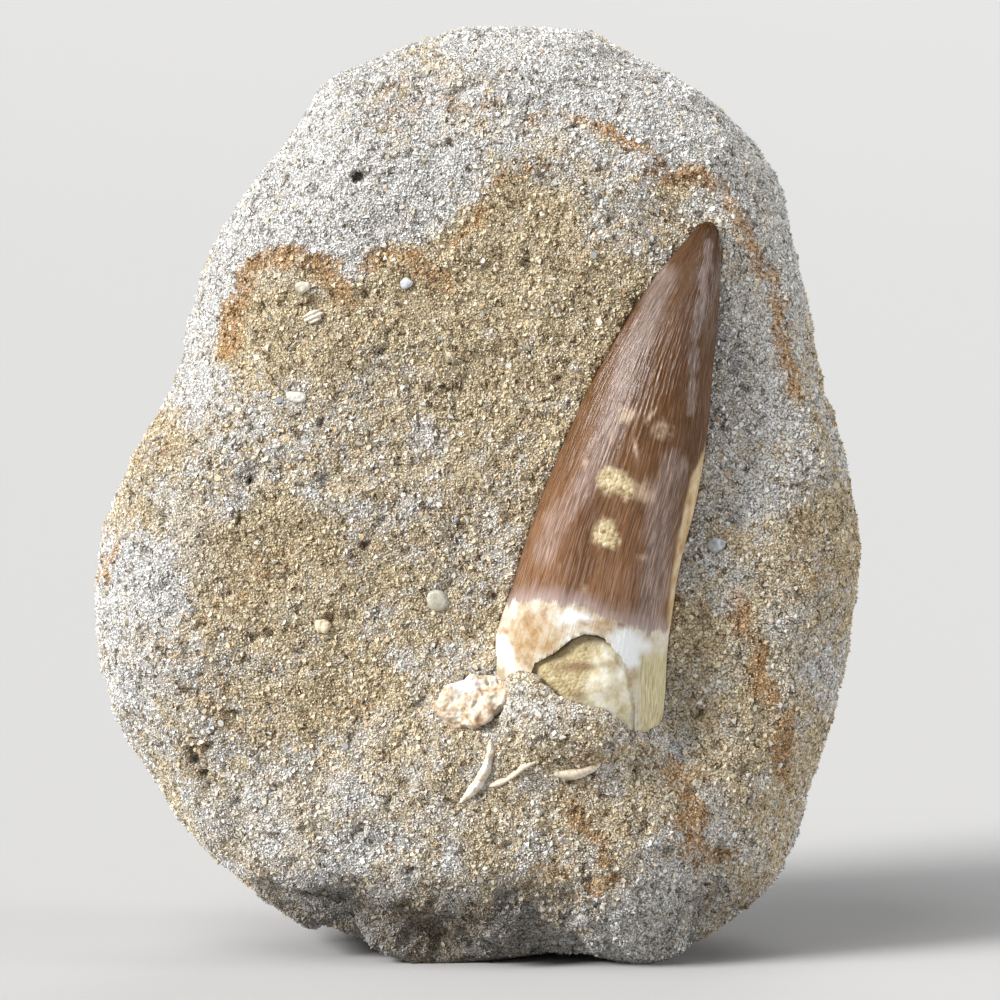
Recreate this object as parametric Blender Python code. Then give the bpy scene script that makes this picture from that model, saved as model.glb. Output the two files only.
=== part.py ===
"""A fossil plesiosaur tooth bedded in its block of pale phosphate sand rock.

The block stands on its broken lower edge, +Z up, with its worked face and the tooth towards -Y.
Sizes are in millimetres and become metres when an object is made.
Outlines are written as they are seen from the front: millimetres right of and above the middle
of the view, measured in the plane through the middle of the block.
"""

import math

import bmesh
import bpy
import numpy as np
from mathutils import Matrix, Vector, noise
from mathutils.bvhtree import BVHTree

MILLIMETRE = 0.001
GAP = 0.3

# The front view that the outlines were measured in.
VIEW_DISTANCE = 560.0
VIEW_RISE = math.radians(5.0)
VIEW_AIM = (2.25, 0.0, 45.0)
SIGHT_REACH = 60.0

# The block: depth of its worked face and of its rough back from the plane of its outline.
FACE_DEPTH = 17.0
BACK_DEPTH = 18.0
FACE_SQUARENESS = 4.0
BACK_SQUARENESS = 3.2
PROFILE_STEPS = 400
BLOCK_SUBDIVISIONS = 5
BLOCK_MIDDLE = (-2.0, -1.0)
BLOCK_REACH = 42.0
FOOT_DEPTH = -9.0
FOOT_TOP = -38.0
FOOT_BOTTOM = -44.0
BLOCK_OUTLINE = [
    (2.0, 46.9), (6.5, 46.7), (9.2, 46.9), (10.9, 45.5), (15.2, 43.2), (19.0, 41.2),
    (23.6, 37.2), (27.6, 32.4), (28.3, 30.0), (29.1, 26.4), (29.6, 22.8), (30.7, 19.6),
    (31.5, 14.6), (32.3, 10.4), (33.5, 7.0), (34.4, 2.6), (34.9, -1.2), (35.6, -7.0),
    (34.8, -12.6), (34.0, -17.0), (32.9, -22.0), (31.5, -26.4), (30.0, -30.0), (29.1, -33.6),
    (27.7, -37.2), (24.4, -41.0), (20.3, -43.4), (17.6, -45.4), (15.4, -47.2), (12.6, -47.2),
    (10.2, -45.8), (7.2, -45.0), (3.0, -45.7), (-1.2, -46.3), (-4.7, -47.4), (-8.0, -47.0),
    (-12.0, -45.0), (-14.8, -42.4), (-16.4, -42.5), (-18.8, -42.7), (-22.1, -41.0), (-25.4, -38.1),
    (-29.1, -34.8), (-34.0, -28.8), (-37.4, -23.6), (-38.7, -19.2), (-39.8, -14.4),
    (-40.2, -10.6), (-39.9, -6.0), (-39.2, -2.2), (-37.8, 1.6), (-36.0, 5.6), (-33.6, 9.4),
    (-32.3, 11.6), (-31.6, 13.6), (-30.8, 16.8), (-29.9, 20.4), (-29.4, 23.2), (-26.6, 28.8),
    (-22.9, 33.6), (-20.1, 36.8), (-18.3, 39.8), (-17.1, 41.9), (-13.0, 43.5), (-8.0, 45.6),
    (-3.6, 47.3),
]

# Swells and hollows of the face, as (right, up, radius, height out of the stone).
FACE_SWELLS = [
    (1.0, -28.0, 13.0, 3.4),
    (3.8, -20.8, 5.0, 3.9),
    (9.5, -23.5, 4.0, 2.0),
    (12.0, -33.0, 9.0, 1.8),
    (-33.0, -12.0, 10.0, 1.6),
    (30.0, -8.0, 9.0, 1.2),
    (-10.0, 34.0, 12.0, 1.2),
    (14.0, 36.0, 8.0, 0.8),
    (-4.0, 8.0, 12.0, -0.9),
    (-26.0, 11.0, 7.0, -1.3),
    (17.5, -22.5, 4.5, -3.4),
    (-25.0, -26.0, 6.0, -0.8),
    (22.0, 12.0, 6.0, -0.7),
    (-2.0, -16.0, 5.0, -0.8),
    (-15.7, -41.0, 3.0, -2.6),
    (-6.0, -44.0, 3.0, -2.4),
    (4.0, -44.5, 5.0, -1.6),
    (21.3, -40.0, 3.6, -2.6),
]
# The overhanging lip above the broken lower edge, from left to right, and how far it juts out.
LEDGE_LINE = [
    (-30.0, -34.0), (-24.0, -37.9), (-17.1, -39.6), (-10.1, -39.8), (-5.9, -42.1), (-3.0, -42.6),
]
LEDGE_JUT = 1.8
LEDGE_UNDERCUT = (0.2, 1.8)
LEDGE_LEFT_END = (-32.0, -25.0)
LEDGE_RIGHT_END = (-6.0, -2.0)
LEDGE_HEIGHTS = (0.2, 0.6)

# Weathering: lumps and knobs, calmer at the rim, rougher on the sides, the back and the break.
# Each pair of heights or shares is where the effect starts and where it is full.
LUMP_SIZE = 13.0
LUMP_HEIGHT = 1.1
LUMP_PLACE = (3.1, 0.0, 7.7)
KNOB_SIZE = 5.5
KNOB_HEIGHT = 0.5
KNOB_PLACE = (9.4, 2.0, 1.3)
RIM_CALM = 0.3
RIM_HEIGHTS = (0.1, 0.5)
SIDE_ROUGHNESS = 1.2
SIDE_SHARES = (0.85, 0.97)
SIDE_HEIGHTS = (0.35, 0.7)
BACK_ROUGHNESS = 2.2
BROKEN_EDGE = -38.0
BROKEN_ROUGHNESS = 1.6
BROKEN_DROP = (0.0, 3.0)
BROKEN_HEIGHTS = (0.2, 0.5)

# The weathered hole near the top left.
HOLE_PLACE = (-14.2, 32.3)
HOLE_RADIUS = 0.75
HOLE_DEPTH = 3.5
HOLE_POINT = 0.2
HOLE_SIDES = 10

# The tooth from its tip to the broken end of its root: right, up, half width, depth of its axis.
TOOTH_SECTIONS = [
    (20.95, 27.75, 0.45, -15.3),
    (20.85, 27.3, 0.85, -15.4),
    (20.6, 26.4, 1.37, -15.6),
    (19.5, 23.15, 2.6, -16.1),
    (17.8, 18.55, 3.98, -16.6),
    (16.05, 13.4, 5.18, -16.9),
    (14.6, 8.5, 6.2, -17.0),
    (12.65, 1.95, 7.05, -16.9),
    (10.66, -4.17, 7.48, -16.6),
    (8.9, -11.34, 8.05, -16.0),
    (7.57, -17.27, 8.9, -14.8),
    (7.3, -21.9, 8.8, -13.2),
    (7.6, -24.6, 8.2, -12.2),
]
TOOTH_FLATNESS = 0.84
TOOTH_SIDES = 22
TOOTH_RINGS = 18
FRAME_STEP = 0.02

# The pulp cavity, and the window that the broken root wall leaves in front of it.
ROOT_WALL = 1.3
CAVITY_TOP = 0.66
CAVITY_POINT = 0.12
CAVITY_START = 0.005
CAVITY_END = 1.02
CAVITY_LEAST = 0.2
CAVITY_SIDES = 16
CAVITY_RINGS = 11
WINDOW_DEPTHS = (-40.0, -16.0)
WINDOW_OUTLINE = [
    (3.0, -19.6), (3.2, -16.6), (4.7, -15.7), (6.2, -14.8), (8.5, -13.4), (9.7, -13.6),
    (11.0, -14.6), (12.0, -15.8), (12.9, -17.0), (13.4, -20.0), (13.2, -22.0), (8.0, -22.6),
]

# Loose pieces bedded in the face: outline points, how proud they stand, how deep they are bedded.
BEDDED_FRONT_SQUARENESS = 2.6
BEDDED_BACK_SQUARENESS = 2.4
BONE_OUTLINE = [
    (-3.3, -17.1), (-1.6, -17.1), (0.7, -17.6), (1.1, -18.1), (0.7, -19.9), (-0.6, -22.0),
    (-1.9, -22.9), (-3.2, -22.9), (-4.7, -22.7), (-6.0, -21.2), (-6.0, -19.6), (-4.7, -18.4),
]
BONE_PROUD = 1.3
BONE_BEDDED = 1.8
FLAKE_OUTLINE = [(-7.2, -9.2), (-6.3, -8.9), (-5.3, -10.9), (-6.2, -11.2), (-7.1, -10.6)]
FLAKE_PROUD = 0.35
FLAKE_BEDDED = 0.6

# Pebbles and chips: name, right, up, half length, half width, turn in degrees, proud, colour.
CHIP_POINTS = 10
CHIP_BEDDED_MORE = 0.3
CHIP_UNEVEN = (0.12, 0.06)
CHIPS = [
    ("grey_pebble", 21.6, -4.4, 0.95, 0.78, 20.0, 0.5, (0.42, 0.43, 0.44)),
    ("white_chip", -19.7, 21.3, 0.85, 0.55, 10.0, 0.4, (0.80, 0.76, 0.68)),
    ("ridged_shell_chip", -18.7, 18.4, 1.15, 0.62, 25.0, 0.4, (0.74, 0.70, 0.60)),
    ("blue_grey_pebble", -9.4, 21.7, 0.65, 0.55, 0.0, 0.4, (0.62, 0.64, 0.66)),
    ("long_white_chip", -20.4, 10.3, 1.15, 0.5, -4.0, 0.35, (0.82, 0.79, 0.72)),
    ("cream_pebble", -17.7, -12.6, 0.85, 0.75, 0.0, 0.5, (0.80, 0.72, 0.56)),
]

# Shell slivers as sections from one end to the other: right, up, half width.
SLIVERS = {
    "shell_sliver_long": [
        (-1.0, -24.0, 0.1), (-0.9, -24.9, 0.3), (-1.2, -26.3, 0.42), (-1.9, -27.9, 0.5),
        (-2.9, -29.2, 0.4), (-3.9, -30.2, 0.12),
    ],
    "shell_sliver_thin": [
        (-1.0, -28.6, 0.12), (0.0, -28.3, 0.2), (1.3, -27.6, 0.22), (2.4, -26.7, 0.2),
        (3.6, -26.2, 0.1),
    ],
    "shell_sliver_pale": [
        (5.6, -27.3, 0.1), (7.2, -27.4, 0.26), (8.7, -27.0, 0.24), (10.2, -26.1, 0.1),
    ],
}
SLIVER_PROUD = 0.45
SLIVER_BEDDED = 0.9
SLIVER_SIDES = 8
SLIVER_RINGS = 9
SLIVER_STEP = 0.05
SLIVER_END_DEPTH = 0.4

# Materials: name, colour, roughness.
SAND = ("sand rock", (0.60, 0.53, 0.42), 0.95)
ENAMEL = ("tooth enamel", (0.30, 0.17, 0.10), 0.3)
FILL = ("cavity fill", (0.74, 0.64, 0.45), 0.9)
BONE = ("bone", (0.84, 0.74, 0.64), 0.8)
SHELL = ("shell", (0.86, 0.82, 0.72), 0.6)
FLAKE = ("clear flake", (0.70, 0.66, 0.52), 0.3)
CHIP_ROUGHNESS = 0.7


def clear_scene():
    """Start from an empty scene."""
    for item in list(bpy.data.objects):
        bpy.data.objects.remove(item)


def new_collection(name):
    """A collection linked to the scene."""
    made = bpy.data.collections.new(name)
    bpy.context.scene.collection.children.link(made)
    return made


def plain_material(name, colour, roughness):
    """A dielectric material of one colour."""
    made = bpy.data.materials.new(name)
    made.use_nodes = True
    shader = made.node_tree.nodes["Principled BSDF"]
    shader.inputs["Base Color"].default_value = (*colour, 1.0)
    shader.inputs["Roughness"].default_value = roughness
    shader.inputs["Metallic"].default_value = 0.0
    return made


def new_object(name, shape, collection, material):
    """Turn a bmesh in millimetres into an object in metres."""
    bmesh.ops.recalc_face_normals(shape, faces=shape.faces)
    bmesh.ops.scale(shape, vec=(MILLIMETRE,) * 3, verts=shape.verts)
    mesh = bpy.data.meshes.new(name)
    shape.to_mesh(mesh)
    shape.free()
    mesh.shade_smooth()
    mesh.set_sharp_from_angle(angle=math.radians(40))
    made = bpy.data.objects.new(name, mesh)
    made.data.materials.append(material)
    collection.objects.link(made)
    return made


def as_cutter(shape, name, collection, material):
    """Keep a shape as a hidden cutter."""
    made = new_object(name, shape, collection, material)
    made.hide_render = True
    made.display_type = "WIRE"
    return made


def cut(target, cutter):
    """Take the cutter out of the target."""
    boolean = target.modifiers.new("cut " + cutter.name, "BOOLEAN")
    boolean.operation = "DIFFERENCE"
    boolean.solver = "EXACT"
    boolean.object = cutter


def grown(shape, by):
    """A copy of a shape with its surface moved outwards."""
    bigger = shape.copy()
    bmesh.ops.recalc_face_normals(bigger, faces=bigger.faces)
    bigger.normal_update()
    shifts = [corner.normal * by for corner in bigger.verts]
    for corner, shift in zip(bigger.verts, shifts):
        corner.co += shift
    return bigger


def seen_at(right, up, depth):
    """The point that the front view shows at (right, up), at a depth along Y."""
    cosine = math.cos(VIEW_RISE)
    sine = math.sin(VIEW_RISE)
    nearness = up * (1 + cosine * depth / VIEW_DISTANCE) - sine * depth
    rise = nearness / (cosine + up * sine / VIEW_DISTANCE)
    scale = 1 + (cosine * depth - sine * rise) / VIEW_DISTANCE
    return Vector((VIEW_AIM[0] + right * scale, depth, VIEW_AIM[2] + rise))


def ease(value, low, high):
    """0 below low, 1 above high and a smooth ramp between."""
    share = min(max((value - low) / (high - low), 0.0), 1.0)
    return share * share * (3 - 2 * share)


def smooth_curve(points, share):
    """The value a share of the way along a row of points, on a smooth curve through them all."""
    place = share * (len(points) - 1)
    index = min(int(place), len(points) - 2)
    step = place - index
    before, start, end, after = (
        np.array(points[min(max(index + offset, 0), len(points) - 1)], float)
        for offset in (-1, 0, 1, 2)
    )
    bend = 2 * before - 5 * start + 4 * end - after
    twist = 3 * start - before - 3 * end + after
    return start + 0.5 * step * (end - before + step * (bend + step * twist))


def polar_outline(points, middle):
    """The distance from the middle to a closed outline, as a function of direction."""
    arms = np.array(points, float) - middle
    turns = np.arctan2(arms[:, 1], arms[:, 0])
    order = np.argsort(turns)
    reach = np.hypot(arms[:, 0], arms[:, 1])[order]
    turns = turns[order]
    turns = np.concatenate([turns - 2 * math.pi, turns, turns + 2 * math.pi])
    reach = np.tile(reach, 3)
    return lambda turn: float(np.interp(turn, turns, reach))


def rounded_profile(reach, depth, squareness):
    """From the middle of a face to its rim in even steps: share of the way, outward, height."""
    turn = np.linspace(0, math.pi / 2, PROFILE_STEPS)
    outward = np.sin(turn) ** (2 / squareness)
    height = np.cos(turn) ** (2 / squareness)
    steps = np.hypot(np.diff(outward) * reach, np.diff(height) * depth)
    way = np.concatenate([[0.0], np.cumsum(steps)])
    return way / way[-1], outward, height


def lens_shape(subdivisions, outline, middle, front, back):
    """A ball drawn out to an outline; yields each corner with its turn, outward share and height."""
    shape = bmesh.new()
    bmesh.ops.create_icosphere(shape, subdivisions=subdivisions, radius=1.0)
    reach = polar_outline(outline, middle)
    for corner in shape.verts:
        turn = math.atan2(corner.co.y, corner.co.x)
        fall = math.acos(min(max(corner.co.z, -1.0), 1.0)) / (math.pi / 2)
        way, outward, height = front if fall <= 1 else back
        share = fall if fall <= 1 else 2 - fall
        out = float(np.interp(share, way, outward))
        rise = float(np.interp(share, way, height))
        arm = reach(turn) * out
        right = middle[0] + math.cos(turn) * arm
        up = middle[1] + math.sin(turn) * arm
        corner.co = Vector((right, up, rise if fall <= 1 else -rise))
        yield shape, corner, out
    shape.normal_update()


def block_shape():
    """The block of sand rock before anything is bedded in it."""
    front = rounded_profile(BLOCK_REACH, FACE_DEPTH, FACE_SQUARENESS)
    back = rounded_profile(BLOCK_REACH, BACK_DEPTH, BACK_SQUARENESS)
    rims = {}
    for shape, corner, out in lens_shape(
        BLOCK_SUBDIVISIONS, BLOCK_OUTLINE, BLOCK_MIDDLE, front, back
    ):
        right, up, rise = corner.co
        rim_up = BLOCK_MIDDLE[1] + (up - BLOCK_MIDDLE[1]) / max(out, 0.01)
        rim_depth = FOOT_DEPTH * ease(-rim_up, -FOOT_TOP, -FOOT_BOTTOM) * out ** 3
        limit = -FACE_DEPTH if rise > 0 else BACK_DEPTH
        depth = rim_depth + (limit - rim_depth) * abs(rise)
        corner.co = seen_at(right, up, depth)
        rims[corner] = (right, up, out, rise)
    bmesh.ops.recalc_face_normals(shape, faces=shape.faces)
    shape.normal_update()
    shifts = {corner: roughness_at(corner, *rims[corner]) for corner in shape.verts}
    for corner, shift in shifts.items():
        corner.co += corner.normal * shift
        corner.co.z = max(corner.co.z, 0.0)
    return shape


def roughness_at(corner, right, up, out, rise):
    """How far the weathered surface stands out of the smooth block at a corner."""
    calm = RIM_CALM + (1 - RIM_CALM) * ease(abs(rise), *RIM_HEIGHTS)
    calm *= 1 + SIDE_ROUGHNESS * ease(out, *SIDE_SHARES) * ease(abs(rise), *SIDE_HEIGHTS)
    calm += BROKEN_ROUGHNESS * ease(BROKEN_EDGE - up, *BROKEN_DROP) * ease(rise, *BROKEN_HEIGHTS)
    lump = noise.noise(corner.co / LUMP_SIZE + Vector(LUMP_PLACE)) * LUMP_HEIGHT
    knob = noise.noise(corner.co / KNOB_SIZE + Vector(KNOB_PLACE)) * KNOB_HEIGHT
    shift = (lump + knob) * calm
    if rise < 0:
        return shift * (1 + (BACK_ROUGHNESS - 1) * -rise)
    for swell_right, swell_up, radius, height in FACE_SWELLS:
        away = math.hypot(right - swell_right, up - swell_up) / radius
        shift += height * math.exp(-away * away) * rise
    below = np.interp(right, *zip(*LEDGE_LINE)) - up
    undercut = ease(below, *LEDGE_UNDERCUT) * ease(rise, *LEDGE_HEIGHTS)
    undercut *= ease(right, *LEDGE_LEFT_END) * (1 - ease(right, *LEDGE_RIGHT_END))
    return shift - LEDGE_JUT * undercut


def tooth_section(share):
    """The middle, half width and half depth of the tooth, a share of the way down it."""
    right, up, half_width, depth = smooth_curve(TOOTH_SECTIONS, share)
    return seen_at(right, up, depth), half_width, half_width * TOOTH_FLATNESS


def tube_shape(sections, sides):
    """A closed tube through elliptical sections, each a middle, an across arm and an out arm."""
    shape = bmesh.new()
    rings = []
    for middle, across, out in sections:
        turns = (2 * math.pi * side / sides for side in range(sides))
        corners = (middle + across * math.cos(turn) + out * math.sin(turn) for turn in turns)
        rings.append([shape.verts.new(corner) for corner in corners])
    for upper, lower in zip(rings, rings[1:]):
        for side in range(sides):
            following = (side + 1) % sides
            shape.faces.new((upper[side], upper[following], lower[following], lower[side]))
    for ring in (rings[0], rings[-1]):
        middle = shape.verts.new(sum((corner.co for corner in ring), Vector()) / sides)
        for side in range(sides):
            shape.faces.new((ring[side], ring[(side + 1) % sides], middle))
    return shape


def tooth_frame(share):
    """The across and out directions of the tooth, a share of the way down it."""
    ahead = tooth_section(min(share + FRAME_STEP, 1.0))[0]
    behind = tooth_section(max(share - FRAME_STEP, 0.0))[0]
    along = (ahead - behind).normalized()
    across = along.cross(Vector((0, 1, 0))).normalized()
    return across, across.cross(along).normalized()


def tooth_shape():
    """The whole tooth, crown and root, before its root was broken."""
    sections = []
    for share in np.linspace(0.0, 1.0, TOOTH_RINGS):
        middle, half_width, half_depth = tooth_section(share)
        across, out = tooth_frame(share)
        sections.append((middle, across * half_width, out * half_depth))
    return tube_shape(sections, TOOTH_SIDES)


def cavity_shape(shares, gap):
    """The pulp cavity: a blunt point in the crown, then as wide as the root's wall allows."""
    sections = []
    for share in shares:
        middle, half_width, half_depth = tooth_section(share)
        across, out = tooth_frame(share)
        point = math.sqrt(min((share - CAVITY_TOP) / CAVITY_POINT, 1.0))
        wide = max((half_width - ROOT_WALL) * point - gap, CAVITY_LEAST)
        deep = max((half_depth - ROOT_WALL) * point - gap, CAVITY_LEAST)
        sections.append((middle, across * wide, out * deep))
    return tube_shape(sections, CAVITY_SIDES)


def window_shape(outline, near, far):
    """A flat outline of the front view carried from one depth to another along the lines of sight."""
    shape = bmesh.new()
    rings = [[shape.verts.new(seen_at(*point, depth)) for point in outline] for depth in (near, far)]
    for ring in rings:
        shape.faces.new(ring)
    for side in range(len(outline)):
        following = (side + 1) % len(outline)
        shape.faces.new((rings[0][side], rings[0][following], rings[1][following], rings[1][side]))
    return shape


def hole_shape(surface):
    """A small round hole running back into the stone, closing to a point."""
    shape = bmesh.new()
    bmesh.ops.create_cone(
        shape, cap_ends=True, segments=HOLE_SIDES, depth=2 * HOLE_DEPTH,
        radius1=HOLE_POINT, radius2=2 * HOLE_RADIUS,
    )
    mouth, _ = bed_plane(surface, chip_outline(*HOLE_PLACE, HOLE_RADIUS, HOLE_RADIUS, 0.0))
    bmesh.ops.rotate(shape, verts=shape.verts, matrix=Matrix.Rotation(math.pi / 2, 3, "X"))
    bmesh.ops.translate(shape, verts=shape.verts, vec=mouth)
    return shape


def bed_plane(surface, outline):
    """The plane through the stone's surface under an outline, as a middle and a normal."""
    eye = Vector(VIEW_AIM) - Vector((0, math.cos(VIEW_RISE), -math.sin(VIEW_RISE))) * VIEW_DISTANCE
    hits = []
    for right, up in outline:
        sight = (seen_at(right, up, 0.0) - eye).normalized()
        hits.append(surface.ray_cast(eye, sight)[0])
    middle = sum(hits, Vector()) / len(hits)
    spread = np.array([hit - middle for hit in hits])
    normal = Vector(np.linalg.svd(spread)[2][-1])
    return middle, normal if normal.y < 0 else -normal


def depth_on(plane, right, up):
    """The depth at which a plane shows at (right, up) in the front view."""
    middle, normal = plane
    near = seen_at(right, up, -SIGHT_REACH)
    far = seen_at(right, up, SIGHT_REACH)
    share = (middle - near).dot(normal) / (far - near).dot(normal)
    return (near + (far - near) * share).y


def bedded_lens(surface, outline, subdivisions, proud, bedded):
    """A flattish piece lying in the stone's face under its outline."""
    middle = tuple(np.mean(outline, axis=0))
    plane = bed_plane(surface, outline)
    size = float(np.ptp(np.array(outline), axis=0).mean()) / 2
    front = rounded_profile(size, proud, BEDDED_FRONT_SQUARENESS)
    back = rounded_profile(size, bedded, BEDDED_BACK_SQUARENESS)
    for shape, corner, _ in lens_shape(subdivisions, outline, middle, front, back):
        right, up, rise = corner.co
        lift = rise * proud if rise > 0 else rise * bedded
        corner.co = seen_at(right, up, depth_on(plane, right, up)) + plane[1] * lift
    return shape


def chip_outline(right, up, half_length, half_width, turn):
    """An oval, a little uneven like a worn chip."""
    points = []
    for index in range(CHIP_POINTS):
        angle = 2 * math.pi * index / CHIP_POINTS
        coarse, fine = CHIP_UNEVEN
        uneven = 1 + coarse * math.sin(3 * angle + right) + fine * math.cos(5 * angle + up)
        along = half_length * uneven * math.cos(angle)
        across = half_width * uneven * math.sin(angle)
        lean = math.radians(turn)
        points.append((
            right + along * math.cos(lean) - across * math.sin(lean),
            up + along * math.sin(lean) + across * math.cos(lean),
        ))
    return points


def sliver_shape(surface, sections):
    """A thin curved shell edge standing out of the stone's face."""
    plane = bed_plane(surface, [section[:2] for section in sections])
    arms = []
    for share in np.linspace(0, 1, SLIVER_RINGS):
        right, up, half_width = smooth_curve(sections, share)
        ahead = smooth_curve(sections, min(share + SLIVER_STEP, 1.0))
        behind = smooth_curve(sections, max(share - SLIVER_STEP, 0.0))
        along = Vector((ahead[0] - behind[0], 0, ahead[1] - behind[1])).normalized()
        across = along.cross(plane[1]).normalized()
        middle = seen_at(right, up, depth_on(plane, right, up))
        middle += plane[1] * (SLIVER_PROUD - SLIVER_BEDDED) / 2
        full = SLIVER_END_DEPTH + (1 - SLIVER_END_DEPTH) * ease(half_width, 0.0, 0.5)
        half_depth = (SLIVER_PROUD + SLIVER_BEDDED) / 2 * full
        arms.append((middle, across * half_width, plane[1] * half_depth))
    return tube_shape(arms, SLIVER_SIDES)


def stand_over_origin(objects):
    """Shift everything so that the middle of the footprint is the origin."""
    corners = np.array([
        item.matrix_world @ corner.co for item in objects for corner in item.data.vertices
    ])
    middle = (corners.min(axis=0) + corners.max(axis=0)) / 2
    for item in bpy.data.objects:
        item.location.x -= middle[0]
        item.location.y -= middle[1]


def build():
    """Make every piece and bed it in the block."""
    clear_scene()
    pieces = new_collection("plesiosaur_tooth_in_matrix")
    cutters = new_collection("cutters")
    sand, enamel, fill, bone, shell, flake = (
        plain_material(*made) for made in (SAND, ENAMEL, FILL, BONE, SHELL, FLAKE)
    )

    stone = block_shape()
    surface = BVHTree.FromBMesh(stone)
    block = new_object("matrix_block", stone, pieces, sand)
    cut(block, as_cutter(hole_shape(surface), "weathered_hole", cutters, sand))

    crown = tooth_shape()
    cut(block, as_cutter(grown(crown, GAP), "tooth_pocket", cutters, sand))
    tooth = new_object("tooth", crown, pieces, enamel)
    shares = np.linspace(CAVITY_TOP + CAVITY_START, CAVITY_END, CAVITY_RINGS)
    cavity = cavity_shape(shares, 0.0)
    cut(tooth, as_cutter(cavity, "pulp_cavity", cutters, fill))
    window = window_shape(WINDOW_OUTLINE, *WINDOW_DEPTHS)
    cut(tooth, as_cutter(window, "broken_window", cutters, enamel))
    plug = cavity_shape(shares[1:-1], GAP)
    new_object("pulp_cavity_fill", plug, pieces, fill)

    bedded = [
        ("bone_fragment", bedded_lens(surface, BONE_OUTLINE, 3, BONE_PROUD, BONE_BEDDED), bone),
        ("clear_flake", bedded_lens(surface, FLAKE_OUTLINE, 2, FLAKE_PROUD, FLAKE_BEDDED), flake),
    ]
    for name, right, up, half_length, half_width, turn, proud, colour in CHIPS:
        outline = chip_outline(right, up, half_length, half_width, turn)
        shape = bedded_lens(surface, outline, 2, proud, proud + CHIP_BEDDED_MORE)
        bedded.append((name, shape, plain_material(name, colour, CHIP_ROUGHNESS)))
    for name, sections in SLIVERS.items():
        bedded.append((name, sliver_shape(surface, sections), shell))
    for name, shape, material in bedded:
        pocket = as_cutter(grown(shape, GAP), name + "_pocket", cutters, sand)
        cut(block, pocket)
        if name == "bone_fragment":
            cut(tooth, pocket)
        new_object(name, shape, pieces, material)

    stand_over_origin(pieces.objects)


build()
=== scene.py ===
import itertools
import math
import operator

import bmesh
import bpy
import numpy as np
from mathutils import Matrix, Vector, noise
from mathutils.bvhtree import BVHTree


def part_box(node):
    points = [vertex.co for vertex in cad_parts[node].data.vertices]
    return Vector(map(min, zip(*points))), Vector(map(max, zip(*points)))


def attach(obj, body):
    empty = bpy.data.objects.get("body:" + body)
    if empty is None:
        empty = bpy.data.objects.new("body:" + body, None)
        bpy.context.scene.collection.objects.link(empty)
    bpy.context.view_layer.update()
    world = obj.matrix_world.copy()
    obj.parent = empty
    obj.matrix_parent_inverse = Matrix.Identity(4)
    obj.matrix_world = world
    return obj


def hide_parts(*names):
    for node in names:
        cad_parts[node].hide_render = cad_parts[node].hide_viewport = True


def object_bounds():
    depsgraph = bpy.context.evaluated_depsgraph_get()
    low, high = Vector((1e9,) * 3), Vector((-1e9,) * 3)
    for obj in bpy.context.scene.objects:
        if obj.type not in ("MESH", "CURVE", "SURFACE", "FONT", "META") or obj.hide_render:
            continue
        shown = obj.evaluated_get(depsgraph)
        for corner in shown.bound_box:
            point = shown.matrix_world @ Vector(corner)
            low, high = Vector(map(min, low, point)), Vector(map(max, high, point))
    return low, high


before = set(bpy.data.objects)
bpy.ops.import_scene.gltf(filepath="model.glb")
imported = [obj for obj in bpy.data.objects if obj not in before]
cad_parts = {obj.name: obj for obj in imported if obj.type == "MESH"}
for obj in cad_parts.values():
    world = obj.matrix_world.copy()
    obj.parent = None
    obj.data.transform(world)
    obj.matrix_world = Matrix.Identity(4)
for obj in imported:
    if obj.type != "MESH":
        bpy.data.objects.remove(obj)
cad_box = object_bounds()


# The camera stands 560 mm in front of the block, five degrees above it. Marks on the stone and
# on the tooth are placed as this view shows them: millimetres right of and above the middle of
# the picture, measured in the plane through the middle of the block.
camera_aim = np.array([2.1257, 2.1154, 45.0])
camera_distance = 560.0
camera_rise = math.radians(5.0)
picture_half_width = 50.0
sight = np.array([0.0, math.cos(camera_rise), -math.sin(camera_rise)])
upward = np.array([0.0, math.sin(camera_rise), math.cos(camera_rise)])
rightward = np.array([1.0, 0.0, 0.0])
eye = camera_aim - sight * camera_distance

lens = bpy.data.cameras.new("camera")
lens.sensor_width = 36.0
lens.lens = lens.sensor_width / 2 * camera_distance / picture_half_width
lens.clip_start = 0.01
lens.clip_end = 20.0
camera = bpy.data.objects.new("camera", lens)
camera.location = eye / 1000
camera.rotation_mode = "QUATERNION"
camera.rotation_quaternion = Vector(sight).to_track_quat("-Z", "Y")
bpy.context.scene.collection.objects.link(camera)
bpy.context.scene.camera = camera


def seen(points):
    """Where the front view shows points that are given in metres, as rows of (right, up)."""
    away = points * 1000 - eye
    scale = camera_distance / (away @ sight)
    return np.stack([away[:, 0] * scale, (away @ upward) * scale], axis=1)


def shown_at(right, up, depth):
    """The point, in metres, that the front view shows at (right, up), depth mm behind its aim."""
    ray = sight * camera_distance + rightward * right + upward * up
    share = (camera_aim[1] + depth - eye[1]) / ray[1]
    return (eye + ray * share) / 1000


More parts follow.
